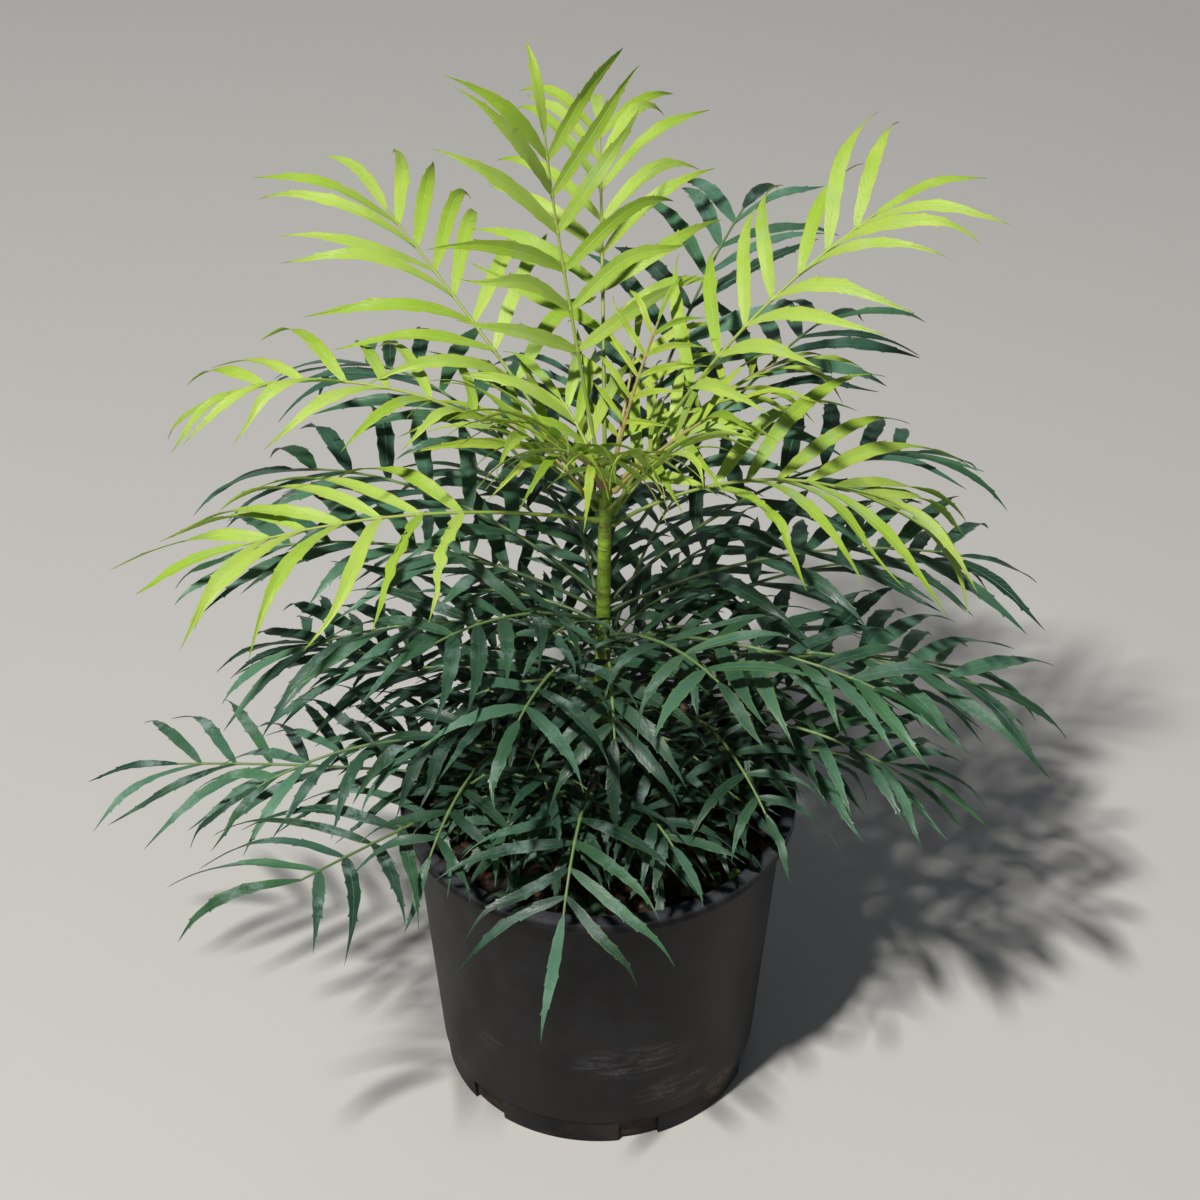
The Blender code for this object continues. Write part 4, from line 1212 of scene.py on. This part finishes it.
def lump(look, size, flatness, sides=6):
    """Points and faces of an angular crumb or chip about its middle."""
    angles = 2 * math.pi * (np.arange(sides) + look.uniform(-0.25, 0.25, sides)) / sides
    points = []
    layers = ((-0.7, 0.75), (0.0, 1.0), (0.7, 0.7))
    for height, reach in layers:
        for angle in angles:
            own = reach * look.uniform(0.75, 1.1)
            points.append((own * math.cos(angle), own * math.sin(angle), height * flatness[1]))
    points += [(0, 0, -flatness[1]), (0, 0, flatness[1] * 0.9)]
    points = np.array(points) * [size, size * flatness[0], size]
    tilt, lean, turn = look.uniform(-0.5, 0.5), look.uniform(-0.5, 0.5), look.uniform(0, 6.3)
    spin = turned(turn, 2) @ turned(tilt, 0) @ turned(lean, 1)
    return points @ spin.T, tube_faces(len(layers), sides)


def turned(angle, axis):
    """A rotation about X, Y or Z."""
    cos, sin = math.cos(angle), math.sin(angle)
    a, b = [(1, 2), (2, 0), (0, 1)][axis]
    made = np.eye(3)
    made[a, a] = made[b, b] = cos
    made[a, b], made[b, a] = -sin, sin
    return made


def scattered(look, low=0.0, high=1.0):
    """A place on the soil at random: x and y."""
    reach = pot_inner_radius(SOIL_TOP) - LITTER_MARGIN
    distance = reach * math.sqrt(look.uniform(low, high))
    angle = look.uniform(0, 2 * math.pi)
    return distance * math.cos(angle), distance * math.sin(angle)


def build_litter(look, surface):
    """Bark chips and crumbs."""
    form = Form()
    for number in range(CRUMBS):
        x, y = scattered(look)
        if number < CHIPS:
            size = look.uniform(0.003, 0.0085)
            flatness = (look.uniform(0.35, 0.7), look.uniform(0.2, 0.4))
        else:
            size = look.uniform(0.0007, 0.0024)
            flatness = (0.9, 0.7)
        points, faces = lump(look, size, flatness)
        points += [x, y, soil_height(x, y) + size * 0.18]
        form.add(points, faces, (0, 0, 0, look.uniform(), look.uniform(), 0))
    finished(form.made("bark_litter", [surface], 30), "soil")


def build_fallen(look, surface):
    """Old leaflets that lie on the soil."""
    form = Form()
    for _ in range(FALLEN):
        x, y = scattered(look, 0.1, 0.72)
        length, turn = look.uniform(0.035, 0.060), look.uniform(0, 2 * math.pi)
        way = level(turn)
        steps = np.linspace(-0.5, 0.5, BLADE_STEPS + 1)[:, None]
        arch = 0.003 + 0.006 * (0.25 - steps**2)
        line = np.array([x, y, 0]) + way * steps * length + UP * arch
        line[:, 2] += [max(soil_height(*point[:2]), soil_height(x, y) - 0.002) for point in line]
        facts = (look.uniform(), look.uniform(0.2, 1.0), look.uniform(0.4, 1.0))
        across = np.array([-way[1], way[0], 0.0])
        add_blade(form, line, across, length, FALLEN_WIDTH, look, facts)
    finished(form.made("fallen_leaflets", [surface]), "dark_frond")


def build_seedlings(look, surface):
    """Tufts of thin stalks, each with one flat leaf."""
    form = Form()
    stalk_steps = np.linspace(0, 1, 6)[:, None]
    leaf_steps = np.linspace(0, 1, 9)[:, None]
    for x, y, count, tall in SEEDLINGS:
        foot = np.array([x, y, soil_height(x, y) - 0.001])
        for number in range(count):
            out = level(GOLDEN_ANGLE * number + look.uniform(-0.3, 0.3))
            rise = tall * look.uniform(0.6, 1.0)
            stalk = foot + out * 0.006 * stalk_steps**1.5 + UP * rise * stalk_steps
            add_tube(form, stalk, np.full(6, 0.00035), 6, (look.uniform(), 0, 0), surface=0)
            size = look.uniform(0.0045, 0.0075)
            line = stalk[-1] + out * size * leaf_steps - UP * size * 0.25 * leaf_steps**2
            wide = np.sin(math.pi * np.clip(leaf_steps[:, 0], 0.04, 0.97)) ** 0.6
            add_tube(
                form, line, size * 0.42 * wide, 10, (look.uniform(), 0, 0), surface=0, flat=0.09,
            )
    finished(form.made("seedlings", [surface]), "lime_frond")


def build_studio():
    scene = bpy.context.scene
    camera = bpy.data.cameras.new("camera")
    camera.lens = CAMERA_LENS
    camera.sensor_width = 36
    eye = added("camera", camera)
    eye.location = CAMERA_PLACE
    eye.rotation_euler = (math.pi / 2 - CAMERA_PITCH, 0, 0)
    scene.camera = eye
    for name, place, size, power, tint in LIGHTS:
        light = bpy.data.lights.new(name, "AREA")
        light.shape = "DISK"
        light.size = size
        light.energy = power
        light.color = tint
        lamp = added(name, light)
        lamp.location = place
        aim = Vector(AIM) - Vector(place)
        lamp.rotation_euler = aim.to_track_quat("-Z", "Y").to_euler()
    world = bpy.data.worlds.new("studio")
    world.use_nodes = True
    background = world.node_tree.nodes["Background"]
    background.inputs["Color"].default_value = SKY
    background.inputs["Strength"].default_value = SKY_STRENGTH
    scene.world = world
    scene.view_settings.view_transform = "Standard"
    mesh = bpy.data.meshes.new("floor")
    half = FLOOR_SIZE / 2
    corners = [(-half, -half, 0), (half, -half, 0), (half, half, 0), (-half, half, 0)]
    mesh.from_pydata(corners, [], [(0, 1, 2, 3)])
    mesh.materials.append(floor_material())
    floor = added("floor", mesh)
    floor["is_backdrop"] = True


def main():
    build_studio()
    leaves = {age: leaf_material(age, palette) for age, palette in PALETTES.items()}
    materials = {age: [leaves[age], stalk_material(age, *STALKS[age])] for age in AGES}
    build_fronds(materials)
    build_sprigs(materials)
    build_canes(cane_material("young", *YOUNG_CANE), cane_material("old", *OLD_CANE))
    build_soil(soil_material())
    look = np.random.default_rng(12)
    build_litter(look, chip_material())
    build_fallen(look, leaves["dark"])
    build_seedlings(look, weed_material())
    build_pot(pot_material())


main()
boxes = {"cad": CAD_BOX, "visual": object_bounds()}
{name: [list(corner) for corner in box] for name, box in boxes.items()}
